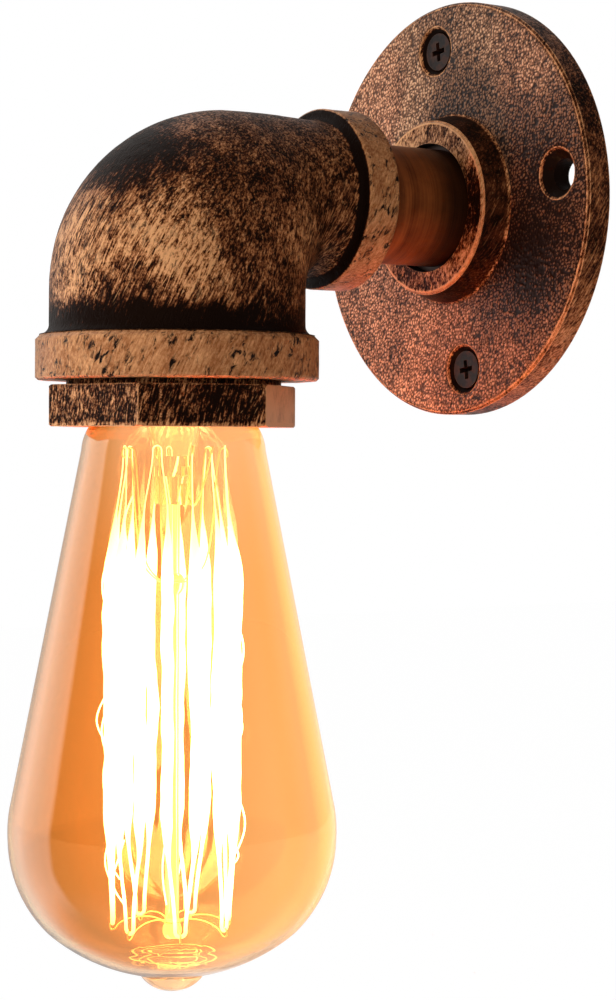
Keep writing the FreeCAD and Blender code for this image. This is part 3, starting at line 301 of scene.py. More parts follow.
def painted(s, copper_and_light, scratch, pits, dents=None, rough=0.42, streak=STROKE):
    """Black-brown paint with dry-brushed copper. The copper share sets how much copper lies
    there, and the callers raise and lower it to paint light and shade too; scratch sets how
    strongly the brush strokes show and pits how many dark flecks are left."""
    thin = s.noise(s.brushed(streak, 0.09), 2600.0, 2.0, 0.6, 0.3)
    loose = s.noise(s.brushed(LOOSE_STROKE, 0.15), 1500.0, 3.0, 0.6, 0.5)
    speck = s.noise(s.here, 1900.0, 3.0, 0.7)
    cloud = s.noise(s.here, 250.0, 4.0, 0.6)
    swing = s.total(*[s.times(s.less(part, 0.5), weight) for part, weight in
                      ((thin, 1.9), (loose, 1.5), (speck, 1.3), (cloud, 1.35))])
    value = s.total(copper_and_light, s.times(swing, scratch))
    ramp = s.node("ValToRGB")
    s.link(value, ramp.inputs["Fac"])
    stops = ramp.color_ramp.elements
    for place, colour in PAINT_STOPS:
        stops.new(place).color = (*colour, 1.0)
    stops[0].position, stops[0].color = 0.20, (*BLACK, 1.0)
    stops[-1].position, stops[-1].color = 1.0, (*BRIGHT, 1.0)
    hair = s.noise(s.brushed(HAIR_STROKE, 0.035), 2300.0, 1.0, 0.5, 0.15)
    hair = s.times(s.span(hair, 0.665, 0.715), s.span(copper_and_light, 0.12, 0.45), scratch)
    colour = s.mix(s.span(hair, 0.0, 1.0, 0.0, 0.8), ramp.outputs["Color"], BRIGHT)
    flecks = s.noise(s.brushed(streak, 0.42), 1150.0, 3.0, 0.65, 0.8)
    where = s.span(s.noise(s.here, 300.0, 2.0, 0.5), 0.40, 0.58)
    pit = s.times(s.span(flecks, 0.49, 0.37), where, pits)
    colour = s.mix(s.span(pit, 0.0, 1.0), colour, BLACK)
    height = s.total(s.times(value, 0.6), s.times(pit, -0.7))
    body = s.span(value, 0.3, 0.7)
    s.surface(Base_Color=colour, Metallic=s.span(body, 0.0, 1.0, 0.0, 0.16),
              Normal=s.bump(height, 0.6, 0.25, dents), Roughness=rough,
              Specular_IOR_Level=s.span(body, 0.0, 1.0, 0.03, 0.20))


def lumpy(s, strength):
    """The slow unevenness of a sand casting."""
    return s.bump(s.noise(s.here, 260.0, 3.0, 0.5), strength, 0.6)


def elbow_paint():
    """Black ring above the lower band, black collar beside the side band, bright bands, and
    spots on the bend where more or less copper paints highlights on its front and low parts and
    shade on its top and right. The ring is painted less dark where it turns to the right, as
    painted light, and the grooves get painted shade."""
    s = Shader("brushed_bronze")
    high, deep = s.axis("Z"), s.axis("Y")
    band = s.most(s.reach(high, LOW_BAND, LOW_BAND - 0.3),
                  s.reach(deep, SIDE_BAND, SIDE_BAND + 0.3))
    body = s.less(1.0, band)
    wander = s.span(s.noise(s.here, 160.0, 3.0, 0.6), 0.3, 0.7, -1.1 * MM, 1.1 * MM)
    ring = s.reach(s.total(high, wander), -20.8, -26.2, soft=True)
    # painted light: the ring above the lower band is painted less dark where it turns to the
    # right
    right = s.dot(s.spot.outputs["Normal"], (0.9, 0.44, 0.0))
    ring = s.times(ring, s.span(right, 0.75, 1.0, 1.0, 0.55))
    collar = s.reach(s.total(deep, s.times(wander, 0.3)), -42.5, -41.8, soft=True)
    edge = s.edges(0.35)
    # painted highlights on the front and low parts of the bend, painted shade on its top and at
    # its right
    painted_light_spots = s.blobs(((18.5, -90.0, -10.5), 14, 0.30), ((22.5, -85.0, -19.0), 11, 0.20),
                    ((0.5, -99.5, -13.0), 17, 0.26), ((21.0, -58.0, -10.0), 10, 0.20),
                    ((9.0, -88.5, 6.0), 14, -0.26), ((-3.0, -88.0, 9.0), 16, -0.24),
                    ((21.5, -76.0, 2.0), 9, -0.10), ((22.0, -66.0, -1.0), 7, -0.08))
    body_copper_and_light = s.total(painted_light_spots, 0.40, s.times(ring, -0.46), s.times(collar, -0.60),
                         s.times(edge, 0.2))
    band_cover = s.total(0.675, s.times(edge, 0.55))
    # painted shade: less copper down in grooves and corners
    grooves = s.span(s.open_air(2.8, 0.35, 0.8), 0.0, 1.0, -0.26, 0.0)
    copper_and_light = s.total(s.times(band, band_cover), s.times(body, body_copper_and_light), grooves)
    quiet = s.most(band, s.times(body, s.most(s.times(ring, 0.6), collar)))
    lively = s.span(painted_light_spots, -0.10, 0.30, 0.60, 1.0)
    painted(s, copper_and_light, s.times(lively, s.span(quiet, 0.0, 1.0, 0.95, 0.36)),
            s.span(band, 0.0, 1.0, 0.8, 1.3), lumpy(s, 0.35))
    return s.material


def face_light_and_shadow(s):
    """Painted shadow and painted light on the wall plate's face: the elbow's shadow at the right
    of the hub and shade above it, and light low down and at the upper left.
    """
    return s.blobs(((27.0, FACE_LEVEL, -1.0), 28, -0.50), ((3.0, FACE_LEVEL, 20.0), 16, -0.26),
                   ((-8.0, FACE_LEVEL, -34.0), 26, 0.14), ((-22.0, FACE_LEVEL, 26.0), 24, 0.16),
                   ((22.0, FACE_LEVEL, -16.0), 18, -0.22))


def plate_cloud(s):
    """Slow lighter and darker clouds over the wall plate."""
    return s.span(s.noise(s.here, 70.0, 3.0, 0.6), 0.3, 0.7, -0.15, 0.15)


def pebble_paint():
    """The plate's face: small cast pebbles, dark between and rubbed on top."""
    s = Shader("pebbled_bronze")
    tops = s.node("Attribute", attribute_name="pebble").outputs["Fac"]
    speck = s.noise(s.here, 2600.0, 3.0, 0.6)
    slow = s.noise(s.brushed((0.5, 0.0, 0.8), 0.3), 700.0, 3.0, 0.6)
    # painted shadow and painted light over the face come in here
    tone = s.total(tops, s.times(speck, 0.30), s.times(slow, 0.35), face_light_and_shadow(s),
                   plate_cloud(s))
    body = s.span(tone, 0.42, 1.12)
    colour = s.mix(body, (0.009, 0.0045, 0.0035), (0.255, 0.112, 0.055))
    colour = s.mix(s.span(tone, 1.08, 1.42), colour, (0.66, 0.39, 0.225))
    s.surface(Base_Color=colour, Metallic=0.1, Roughness=0.40,
              Normal=s.bump(speck, 0.2, 0.15), Specular_IOR_Level=s.span(body, 0, 1, 0.15, 0.3))
    return s.material


def plate_paint():
    """The rest of the wall plate: hub, rim, holes and back, with painted light and shade on the
    hub's face and painted shade inside the holes and the bore.
    """
    s = Shader("plate_bronze")
    deep, out = s.axis("Y"), s.round_axis((0.0, None, 0.0))
    edge = s.edges(0.35)
    hub_face = s.times(s.reach(deep, HUB_LEVEL + 0.3, HUB_LEVEL + 0.1), s.reach(out, 18.2, 18.1))
    hub_side = s.times(s.reach(deep, FACE_LEVEL - 0.3, FACE_LEVEL - 0.7), s.less(1.0, hub_face))
    hub_rim = s.times(s.reach(out, 17.2, 17.5), s.reach(deep, HUB_LEVEL + 0.7, HUB_LEVEL + 0.4))
    # painted light at the upper left of the hub's face, painted shade low down and the tube's
    # painted shadow at its right
    hub_light_and_shadow = s.blobs(((-9.0, HUB_LEVEL, 13.0), 12, 0.24),
                          ((-6.0, HUB_LEVEL, -15.0), 11, -0.16),
                          ((15.5, HUB_LEVEL, 0.0), 11, -0.45))
    # painted shade: less copper inside the screw holes and the pipe's bore
    holes = [s.round_axis((across, None, up)) for across, up in HOLE_PLACES]
    in_hole = s.reach(s.least(*holes), 4.9, 4.6)
    in_bore = s.reach(out, 13.5, 13.4)
    rim = s.times(s.reach(out, 42.7, 42.9), s.less(1.0, edge))
    copper_and_light = s.total(0.46, s.times(plate_cloud(s), 0.6), s.times(hub_face, 0.07),
                    s.times(hub_side, -0.22), s.times(hub_face, hub_light_and_shadow),
                    s.times(rim, -0.10), s.blob((30.0, -3.0, -30.0), 30, 0.22),
                    s.times(in_hole, -0.6), s.times(in_bore, -0.6), s.times(edge, 0.30),
                    s.times(hub_rim, 0.45))
    calm = s.most(hub_side, s.times(rim, 0.5), in_hole, in_bore)
    painted(s, copper_and_light, s.span(calm, 0.0, 1.0, 0.7, 0.25), 0.3, lumpy(s, 0.2), rough=0.36)
    return s.material


def hex_paint():
    """The bushing, with painted light and shade by which way each face turns: the main face and
    the left one darker and scratched, the smooth right face much brighter, and faces turned down
    a little lighter.
    """
    s = Shader("scratched_bronze")
    right = s.facing(HEX_RIGHT)
    edge = s.edges(0.3, 0.02, 0.16)
    cloud = s.span(s.noise(s.here, 150.0, 3.0, 0.6), 0.3, 0.7, -0.2, 0.2)
    foot = s.reach(s.axis("Z"), -45.4, -45.9)
    # painted light and shade: each face lighter or darker by which way it turns
    copper_and_light = s.total(0.35, s.times(cloud, 0.6), s.times(s.facing(HEX_LEFT), -0.06),
                    s.times(s.facing(HEX_MAIN), -0.13), s.times(right, 0.50),
                    s.times(edge, 0.45), s.times(foot, 0.34),
                    s.times(s.facing((0.0, 0.0, -1.0)), 0.15))
    quiet = s.most(right, s.times(edge, 0.6))
    painted(s, copper_and_light, s.span(quiet, 0.0, 1.0, 1.0, 0.15), s.span(right, 0.0, 1.0, 0.6, 0.0),
            streak=HEX_STROKE)
    return s.material


def turned_tube():
    """Smooth turned tube: copper-brown with fine rings round the pipe axis, and painted shade
    that darkens it by the hub.
    """
    s = Shader("turned_bronze")
    lines = s.noise(s.squeezed((0.02, 1, 0.02)), 2600.0, 5.0, 0.75)
    wide = s.noise(s.squeezed((0.03, 1, 0.03)), 500.0, 3.0, 0.6)
    cloud = s.noise(s.here, 120.0, 4.0, 0.6)
    mixed = s.total(s.times(lines, 0.5), s.times(wide, 0.5), s.times(cloud, 0.5))
    colour = s.mix(s.span(mixed, 0.60, 0.90), (0.078, 0.018, 0.004), (0.28, 0.080, 0.020))
    # painted shade: the tube darkens toward the hub
    shade_by_hub = s.reach(s.axis("Y"), -24.0, -13.0, 0.0, 0.88, True)
    s.surface(Base_Color=s.mix(shade_by_hub, colour, BLACK), Metallic=0.2,
              Roughness=s.span(lines, 0.3, 0.7, 0.32, 0.46),
              Normal=s.bump(lines, 0.25, 0.2), Specular_IOR_Level=0.2)
    return s.material


def black_screw():
    """Blackened steel with brown dirt and worn edges."""
    s = Shader("black_steel")
    speck = s.noise(s.here, 1600.0, 4.0, 0.6)
    colour = s.mix(s.span(speck, 0.3, 0.7), (0.003, 0.002, 0.002), (0.013, 0.008, 0.007))
    dirt = s.span(s.noise(s.here, 500.0, 3.0, 0.6), 0.48, 0.62, 0.0, 0.8)
    colour = s.mix(dirt, colour, (0.036, 0.012, 0.006))
    colour = s.mix(s.times(s.edges(0.15), 0.5), colour, (0.12, 0.06, 0.04))
    s.surface(Base_Color=colour, Metallic=0.1, Roughness=0.5, Specular_IOR_Level=0.2,
              Normal=s.bump(speck, 0.3, 0.1))
    return s.material


def plain_metal(name, colour, rough):
    """One bare metal with finely speckled gloss."""
    s = Shader(name)
    speck = s.noise(s.here, 1500.0, 5.0, 0.6)
    shade = s.mix(s.span(speck, 0.35, 0.7), tuple(c * 0.72 for c in colour), colour)
    s.surface(Base_Color=shade, Metallic=1.0,
              Roughness=s.span(speck, 0.3, 0.7, rough - 0.06, rough + 0.08),
              Normal=s.bump(speck, 0.15, 0.1))
    return s.material


def plain_dull(name, colour, rough):
    """Porcelain, plastic or fibre of one colour."""
    s = Shader(name)
    speck = s.noise(s.here, 900.0, 4.0, 0.6)
    shade = s.mix(s.span(speck, 0.3, 0.7), tuple(c * 0.8 for c in colour), colour)
    s.surface(Base_Color=shade, Roughness=rough, Normal=s.bump(speck, 0.2, 0.1))
    return s.material


def striped_insulation():
    """Green and yellow earth lead."""
    s = Shader("earth_pvc")
    wave = s.node("TexWave", wave_type="BANDS", bands_direction="Y")
    wave.inputs["Scale"].default_value = 60.0
    s.link(s.here, wave.inputs["Vector"])
    colour = s.mix(s.span(wave.outputs["Fac"], 0.45, 0.55), (0.05, 0.30, 0.04),
                   (0.75, 0.60, 0.03))
    s.surface(Base_Color=colour, Roughness=0.5)
    return s.material


# ------------------------------------------------------------------ glass and glow
def clear_shadow(s, glass, tint):
    """Lets lamp light through: a clear glass throws only a faint tinted shadow."""
    path = s.node("LightPath")
    through = s.node("BsdfTransparent")
    through.inputs["Color"].default_value = (*tint, 1.0)
    both = s.blend(path.outputs["Is Shadow Ray"], glass, through)
    s.link(both.outputs[0], s.output.inputs["Surface"])


def amber_glass():
    """Amber glass, pale in the neck, with painted light and shade across it: the tint deeper at
    the left and lighter at the right, darker still near the left limb, and a painted glow of the
    filament's light at the right limb, weaker at the left limb and the bottom. side goes from -1
    at the left limb to 1 at the right one."""
    s = Shader("amber_glass")
    waves = s.noise(s.squeezed((1, 1, 0.35)), 40.0, 2.0, 0.5)
    high = s.axis("Z")
    across = s.total(s.dot(s.here, RIGHT), BULB_OUT * MM * RIGHT.y)
    side = s.math("DIVIDE", across, s.round_axis((0.0, -BULB_OUT, None)))
    # painted light and shade: the tint goes from deep amber at the left to pale at the right
    tint = s.mix(s.reach(across, -20, 22), (0.965, 0.50, 0.18), (0.995, 0.685, 0.39))
    tint = s.mix(s.times(s.reach(high, -75, -44), 0.7), tint, (0.975, 0.74, 0.56))
    tint = s.mix(s.span(waves, 0.3, 0.7, 0.0, 0.25), tint, (0.97, 0.50, 0.19))
    # painted shade: deeper tint near the left limb
    tint = s.mix(s.span(side, -0.66, -0.86), tint, (0.76, 0.45, 0.18))
    tint = s.mix(s.reach(high, -151.5, -153.5, 0.0, 0.8), tint, (0.86, 0.56, 0.33))
    # painted light: a glow over the right half, strongest at the right limb, and a weak one at
    # the left limb and the bottom
    lit = s.total(s.span(side, 0.0, 0.85, 0.0, 0.07), s.span(side, 0.88, 0.99, 0.0, 0.30),
                  s.span(side, -0.90, -0.99, 0.0, 0.10), s.reach(high, -146, -152, 0.0, 0.05))
    glass = s.surface(Base_Color=tint, Roughness=0.0, IOR=1.47, Transmission_Weight=1.0,
                      Emission_Color=(1.0, 0.46, 0.10), Emission_Strength=lit,
                      Normal=s.bump(waves, 0.06, 0.4), Coat_Weight=0.5, Coat_IOR=1.5,
                      Coat_Roughness=0.0)
    clear_shadow(s, glass, (0.96, 0.74, 0.48))
    return s.material


def clear_glass(name, tint, glow, glow_colour):
    """Glass of one tint. Its glow stands for the filament's light caught in it."""
    s = Shader(name)
    waves = s.noise(s.here, 150.0, 2.0, 0.5)
    glass = s.surface(Base_Color=tint, Roughness=0.02, IOR=1.46, Transmission_Weight=1.0,
                      Normal=s.bump(waves, 0.1, 0.3), Emission_Color=glow_colour,
                      Emission_Strength=glow)
    clear_shadow(s, glass, (0.95, 0.93, 0.88))
    return s.material


def lit_wire():
    """Nickel wire inside the bulb, with a painted glow that stands for the light of the filament
    beside it.
    """
    s = Shader("support_wire")
    speck = s.noise(s.here, 900.0, 2.0, 0.5)
    colour = s.mix(s.span(speck, 0.3, 0.7), (0.85, 0.62, 0.36), (0.95, 0.78, 0.50))
    s.surface(Base_Color=colour, Metallic=0.5, Roughness=0.35,
              Emission_Color=(1.0, 0.70, 0.30), Emission_Strength=0.65)
    s.silent()
    return s.material


def glowing():
    """White-hot in the middle of the cage, yellow toward the hooks."""
    s = Shader("filament_glow")
    high = s.axis("Z")
    heat = s.times(s.reach(high, -146.0, -138.0, soft=True),
                   s.reach(high, -78.0, -60.0, 1.0, 0.0, True))
    flicker = s.span(s.noise(s.squeezed((1, 1, 0.4)), 260.0, 2.0, 0.5), 0.3, 0.7, 0.85, 1.15)
    power = s.times(s.span(heat, 0.0, 1.0, 3.6, 9.0), flicker)
    colour = s.mix(heat, (1.0, 0.80, 0.42), (1.0, 0.86, 0.62))
    s.surface(Base_Color=(0.9, 0.7, 0.4), Roughness=0.5, Emission_Color=colour,
              Emission_Strength=power)
    s.silent()
    return s.material


# ------------------------------------------------------------------ light and background
# What mirrored rays see: brightness, then the directions it is kept to, each with the leans
# where it starts and where it is full. The second row takes light off the first near straight
# back, where the glass mirrors most.
WORLD_SIDES = (
    (1.60, (-BACK, -0.04, 0.06), (-RIGHT, -0.10, 0.10), (UP, -0.80, -0.45)),
    (-1.18, (-BACK, 0.60, 0.95), (-RIGHT, -0.02, 0.06), (UP, -0.80, -0.45)),
    (0.15, (-BACK, 0.70, 0.95), (RIGHT, -0.10, 0.10)),
    (0.26, (-UP, 0.45, 0.80)),
    (0.30, (-BACK, 0.0, 0.5), (RIGHT, -0.10, 0.10)),
    (0.22, (RIGHT, 0.45, 0.80), (BACK, -0.20, 0.20)),
    (0.14, (UP, 0.6, 0.95)),
)
ROOM_LEVEL = 0.06
FILL_LEVEL = 0.10
HALF_BOUNCE = 0.5


def studio_world():
    """White where the camera or the glass looks past the light; reflections see a white wall
    behind and at the left, and a dim room on the camera's side."""
    world = bpy.data.worlds.new("studio")
    bpy.context.scene.world = world
    world.use_nodes = True
    w = Nodes(world.node_tree)

    def backdrop(colour, strength):
        made = w.node("Background")
        w.feed(made.inputs["Color"], colour)
        w.feed(made.inputs["Strength"], strength)
        return made

    ahead = w.node("TexCoord").outputs["Generated"]
    level = ROOM_LEVEL
    for strength, *limits in WORLD_SIDES:
        steps = [w.span(w.dot(ahead, direction), start, full, soft=True)
                 for direction, start, full in limits]
        level = w.total(level, w.times(strength, *steps))
    room = backdrop((1.0, 0.97, 0.94), level)
    fill = backdrop((1.0, 0.97, 0.95), FILL_LEVEL)
    white = backdrop((1.0, 1.0, 1.0), 1.0)
    path = w.node("LightPath").outputs
    mirrored = w.math("GREATER_THAN", path["Glossy Depth"], HALF_BOUNCE)
    unmirrored = w.math("LESS_THAN", path["Glossy Depth"], HALF_BOUNCE)
    direct = w.most(path["Is Camera Ray"], w.times(path["Is Transmission Ray"], unmirrored))
    seen = w.blend(direct, w.blend(mirrored, fill, room), white)
    out = w.node("OutputWorld")
    w.link(seen.outputs[0], out.inputs["Surface"])


FLOOR_HALF = 4.0
FLOOR_LEVEL = -0.42


def floor():
    """Plain white floor, well below, that keeps a soft shadow of the light."""
    data = bpy.data.meshes.new("floor")
    corners = [(x * FLOOR_HALF, y * FLOOR_HALF, FLOOR_LEVEL)
               for x, y in ((-1, -1), (1, -1), (1, 1), (-1, 1))]
    data.from_pydata(corners, [], [(0, 1, 2, 3)])
    item = bpy.data.objects.new("floor", data)
    bpy.context.scene.collection.objects.link(item)
    s = Shader("white_floor")
    matt = s.node("BsdfDiffuse")
    s.feed(matt.inputs["Color"], (0.8, 0.8, 0.8))
    lit = s.node("Emission")
    lit.inputs["Strength"].default_value = 1.12
    path = s.node("LightPath").outputs
    direct = s.most(path["Is Camera Ray"], path["Is Transmission Ray"])
    both = s.blend(s.times(direct, 0.88), matt, lit)
    s.link(both.outputs[0], s.output.inputs["Surface"])
    data.materials.append(s.material)
    item.visible_glossy = False


def lamp(name, kind, energy, where, size, colour=(1, 1, 1)):
    """A lamp aimed at the light. Neither the camera nor the glass shows it."""
    data = bpy.data.lights.new(name, kind)
    data.energy = energy
    data.color = colour
    if kind == "AREA":
        data.shape = "RECTANGLE"
        data.size, data.size_y = size
    else:
        data.shadow_soft_size = size
    item = bpy.data.objects.new(name, data)
    item.location = where
    item.rotation_mode = "QUATERNION"
    item.rotation_quaternion = (TARGET - where).to_track_quat("-Z", "Y")
    bpy.context.scene.collection.objects.link(item)
    item.visible_camera = False
    item.visible_transmission = False
    item.visible_glossy = False


def lights():
    """A large white panel at the left, a weaker warm one in front, an orange one behind at the
    right, and three orange points for the light that the filament throws on the fittings."""
    key = (BACK * 0.42 - RIGHT * 0.89 + UP * 0.20).normalized()
    lamp("left_panel", "AREA", 6.4, TARGET + key * 0.9, (0.42, 0.60))
    lamp("front_panel", "AREA", 3.9, TARGET + BACK * 0.95 + UP * 0.12, (0.5, 0.5),
         (1.0, 0.86, 0.72))
    lamp("right_panel", "AREA", 1.7, TARGET - BACK * 0.30 + RIGHT * 0.75 - UP * 0.05,
         (0.4, 0.7), (1.0, 0.50, 0.24))
    for high, power in ((-0.076, 0.08), (-0.103, 0.42), (-0.130, 0.60)):
        lamp("bulb_glow", "POINT", power, Vector((0, -BULB_OUT * MM, high)), 0.012,
             (1.0, 0.21, 0.022))


# ------------------------------------------------------------------ wires in the bulb
CAGE_LEGS = 14
LEG_STEP = FULL_TURN / CAGE_LEGS
TOP_HOOKS = -50.8
FOOT_TURN = -143.3

# Pieces of curve from one point of a smooth path to the next
CURVE_STEPS = 6

# Slack loops: leg, shift in legs, top, foot and how far each bows out
SLACK = (
    (2, 1.0, -97.0, -110.0, 2.7), (2, 0.0, -101.0, -109.0, 1.5), (9, 0.2, -97.0, -109.0, 2.8),
    (9, -0.3, -100.0, -112.0, 1.6), (10, 0.0, -121.0, -134.0, 2.4),
    (9, 0.4, -124.0, -136.0, 1.4), (1, 0.3, -76.0, -86.0, 1.3), (2, 0.3, -128.0, -133.0, 1.2),
    (5, 0.0, -118.0, -137.0, 1.6), (12, 0.0, -112.0, -138.0, 1.5), (7, 0.1, -60.0, -74.0, 1.2),
    (2, 0.5, -66.0, -82.0, 2.2), (1, 0.0, -96.0, -112.0, 1.7), (9, 0.0, -70.0, -84.0, 1.6),
    (10, 0.3, -126.0, -139.0, 2.8), (1, 0.6, -118.0, -130.0, 1.9),
    (9, -0.1, -88.0, -97.0, 1.3), (2, -0.3, -84.0, -96.0, 1.5),
)
SLACK_STEPS = 24
SLACK_WIRE = 0.17
LEAD_WIRE = 0.2
HOOK_WIRE = 0.16

# Courses of the hooks, as radius and height, and the level and wire of their rings
TOP_COURSE = ((1.6, -76.6), (3.4, -76.2), (6.2, -73.0), (7.6, -66.0), (8.3, -57.0),
              (8.9, -51.6), (9.6, -50.3), (10.4, -50.6), (10.6, -51.8), (10.0, -52.3))
FOOT_COURSE = ((1.7, -143.6), (4.2, -142.8), (7.6, -143.0), (10.2, -144.0), (11.3, -145.3),
               (12.1, -145.5), (12.4, -144.6), (11.9, -143.8))
RING_RADIUS = 1.75
RING_WIRE = 0.24

# Rings in the exhaust tip: radius and wire
RIPPLES = ((1.6, 0.20), (3.1, 0.16), (4.9, 0.20), (6.6, 0.14), (8.4, 0.19))
RIPPLE_STEPS = 48
TIP_TOP = -140.0
TIP_FOOT = -151.5


def add_mesh(name, vertices, faces, material, body):
    """A new piece, given in millimetres, that rides on a body."""
    data = bpy.data.meshes.new(name)
    data.from_pydata([Vector(point) * MM for point in vertices], [], faces)
    data.update()
    for face in data.polygons:
        face.use_smooth = True
    data.materials.append(material)
    item = bpy.data.objects.new(name, data)
    bpy.context.scene.collection.objects.link(item)
    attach(item, body)
    return item


def tube(vertices, faces, path, radii, sides=8):
    """Adds a round wire along a path, closed at both ends; radii go point by point."""
    start = len(vertices)
    side = None
    for index, point in enumerate(path):
        ahead = path[min(index + 1, len(path) - 1)] - path[max(index - 1, 0)]
        ahead.normalize()
        if side is None:
            side = ahead.orthogonal().normalized()
        side = (side - ahead * side.dot(ahead)).normalized()
        across = ahead.cross(side)
        for step in range(sides):
            turn = FULL_TURN * step / sides
            spoke = side * math.cos(turn) + across * math.sin(turn)
            vertices.append(point + spoke * radii[index])
    for ring in range(len(path) - 1):
        for step in range(sides):
            one = start + ring * sides + step
            two = start + ring * sides + (step + 1) % sides
            faces.append((one, two, two + sides, one + sides))
    faces.append(tuple(start + step for step in range(sides))[::-1])
    last = start + (len(path) - 1) * sides
    faces.append(tuple(last + step for step in range(sides)))


def smooth_path(points):
    """Runs a smooth curve through the points."""
    result = []
    for index in range(len(points) - 1):
        before = points[max(index - 1, 0)]
        one, two = points[index], points[index + 1]
        after = points[min(index + 2, len(points) - 1)]
        for step in range(CURVE_STEPS):
            t = step / CURVE_STEPS
            result.append(0.5 * (2 * one + (two - before) * t
                                 + (2 * before - 5 * one + 4 * two - after) * t * t
                                 + (3 * one - before - 3 * two + after) * t ** 3))
    result.append(points[-1])
    return result


def eased(value):
    """0 to 1 with soft ends."""
    value = min(max(value, 0.0), 1.0)
    return value * value * (3 - 2 * value)


def out_from_bulb(point):
    """Distance from the bulb's axis."""
    return math.hypot(point.x, point.y + BULB_OUT)


def around(angle, radius, high):
    """A point round the bulb's axis."""
    return BULB_AXIS + Vector((radius * math.cos(angle), radius * math.sin(angle), high))


def cage_radius(high):
    """The cage widens from its upper hooks to its middle."""
    return 10.1 + 2.2 * eased((TOP_HOOKS - high) / 26.0) - 0.5 * eased((-128.0 - high) / 17.0)


def strand_radius(high):
    """Thin and drawn out near the upper hooks, thick where it glows most."""
    swell = 0.13 + 1.12 * eased((-61.0 - high) / 15.0)
    return swell - (swell - 0.36) * eased((-120.0 - high) / 11.0)


def strand_points(leg, thick):
    """One leg of the wire, from its upper hook down to the turn at its foot."""
    middle = (leg + 0.5) * LEG_STEP
    up_hook = (leg + (1 if leg % 2 else 0)) * LEG_STEP
    low_hook = (leg + (0 if leg % 2 else 1)) * LEG_STEP
    if leg in (0, CAGE_LEGS - 1):
        up_hook = middle
    run = []
    count = 96
    for index in range(count + 1):
        share = index / count
        high = TOP_HOOKS + (FOOT_TURN - TOP_HOOKS) * share
        near_top = 1 - eased(share / 0.14)
        near_foot = eased((share - 0.80) / 0.20)
        angle = middle + (up_hook - middle) * near_top * 0.62
        angle += (low_hook - middle) * near_foot * 0.62
        loose = math.sin(math.pi * share)
        sway = noise.noise(Vector((leg * 3.7, share * 7.0, 0.5)))
        wave = noise.noise(Vector((leg * 5.1, share * 22.0, 9.5)))
        swell = noise.noise(Vector((leg * 1.3, share * 26.0, 4.0)))
        radius = cage_radius(high) + loose * (0.50 * sway + 0.24 * wave)
        angle += loose * (0.050 * sway - 0.020 * wave)
        width = strand_radius(high) * (1 + loose * (thick - 1 + 0.14 * swell))
        run.append((around(angle, radius, high), width))
    return run


def build_filament(material):
    """One hot wire up and down the cage, gathered two by two at the hooks, and the slack
    loops that hang off it."""
    vertices, faces = [], []
    dice = random.Random(11)
    path, radii = [], []
    for leg in range(CAGE_LEGS):
        run = strand_points(leg, dice.uniform(0.90, 1.12))
        if leg % 2:
            run.reverse()
        if path:
            inner, outer = path[-1], run[0][0]
            centre, half = (inner + outer) / 2, (inner - outer) / 2
            rise = half.length * (-1 if leg % 2 else 1)
            for index in range(1, 8):
                turn = math.pi * index / 8
                lift = Vector((0, 0, rise * math.sin(turn)))
                path.append(centre + half * math.cos(turn) + lift)
                radii.append(radii[-1])
        for point, radius in run:
            path.append(point)
            radii.append(radius)
    tube(vertices, faces, path, radii, 10)
    for leg, shift, top, foot, bulge in SLACK:
        angle = (leg + 0.5 + shift) * LEG_STEP
        path = []
        for index in range(SLACK_STEPS + 1):
            share = index / SLACK_STEPS
            high = top + (foot - top) * share
            bow = math.sin(math.pi * share)
            path.append(around(angle + 0.05 * math.sin(FULL_TURN * share),
                               cage_radius(high) + bulge * bow, high))
        tube(vertices, faces, path, [SLACK_WIRE] * len(path))
    return add_mesh("hot_filament", vertices, faces, material, "bulb")


def build_ripples(material):
    """Thin wavy rings in the glass where the exhaust tip was melted off, with a painted glow
    that stands for the filament's light.
    """
    tip = [vertex.co / MM for vertex in NODES["bulb_glass"].data.vertices
           if vertex.co.z < TIP_TOP * MM]

    def seat(radius):
        """Just above the glass at that radius."""
        near = [point.z for point in tip if abs(out_from_bulb(point) - radius) < 1.2]
        return max(near) + 0.45 if near else TIP_FOOT

    vertices, faces = [], []
    dice = random.Random(5)
    for radius, thick in RIPPLES:
        high, first, second = seat(radius), dice.uniform(0, 6.28), dice.uniform(0, 6.28)
        path, radii = [], []
        for index in range(RIPPLE_STEPS + 1):
            turn = FULL_TURN * index / RIPPLE_STEPS
            wave = 0.30 * math.sin(3 * turn + first) + 0.20 * math.sin(5 * turn + second)
            lift = 0.35 + 0.30 * math.sin(2 * turn + second)
            path.append(around(turn, radius + wave, high + lift))
            radii.append(thick * (0.65 + 0.35 * math.sin(turn * 2 + first)))
        tube(vertices, faces, path, radii)
    add_mesh("tip_ripples", vertices, faces, material, "bulb")


def build_leads(material):
    """Two wires from the press out to the two ends of the filament."""
    vertices, faces = [], []
    end = around(0.5 * LEG_STEP, cage_radius(TOP_HOOKS), TOP_HOOKS) - BULB_AXIS
    for side in (1, -1):
        points = [Vector((3.2, 0.5 * side, -57.5)), Vector((4.3, 0.7 * side, -60.2)),
                  Vector((5.6, 1.0 * side, -61.6)), Vector((7.6, 1.6 * side, -58.4)),
                  Vector((end.x, end.y * side, end.z - 0.4)),
                  Vector((end.x, end.y * side, end.z + 0.8))]
        path = smooth_path([BULB_AXIS + point for point in points])
        tube(vertices, faces, path, [LEAD_WIRE] * len(path))
    return add_mesh("lead_wires", vertices, faces, material, "bulb")


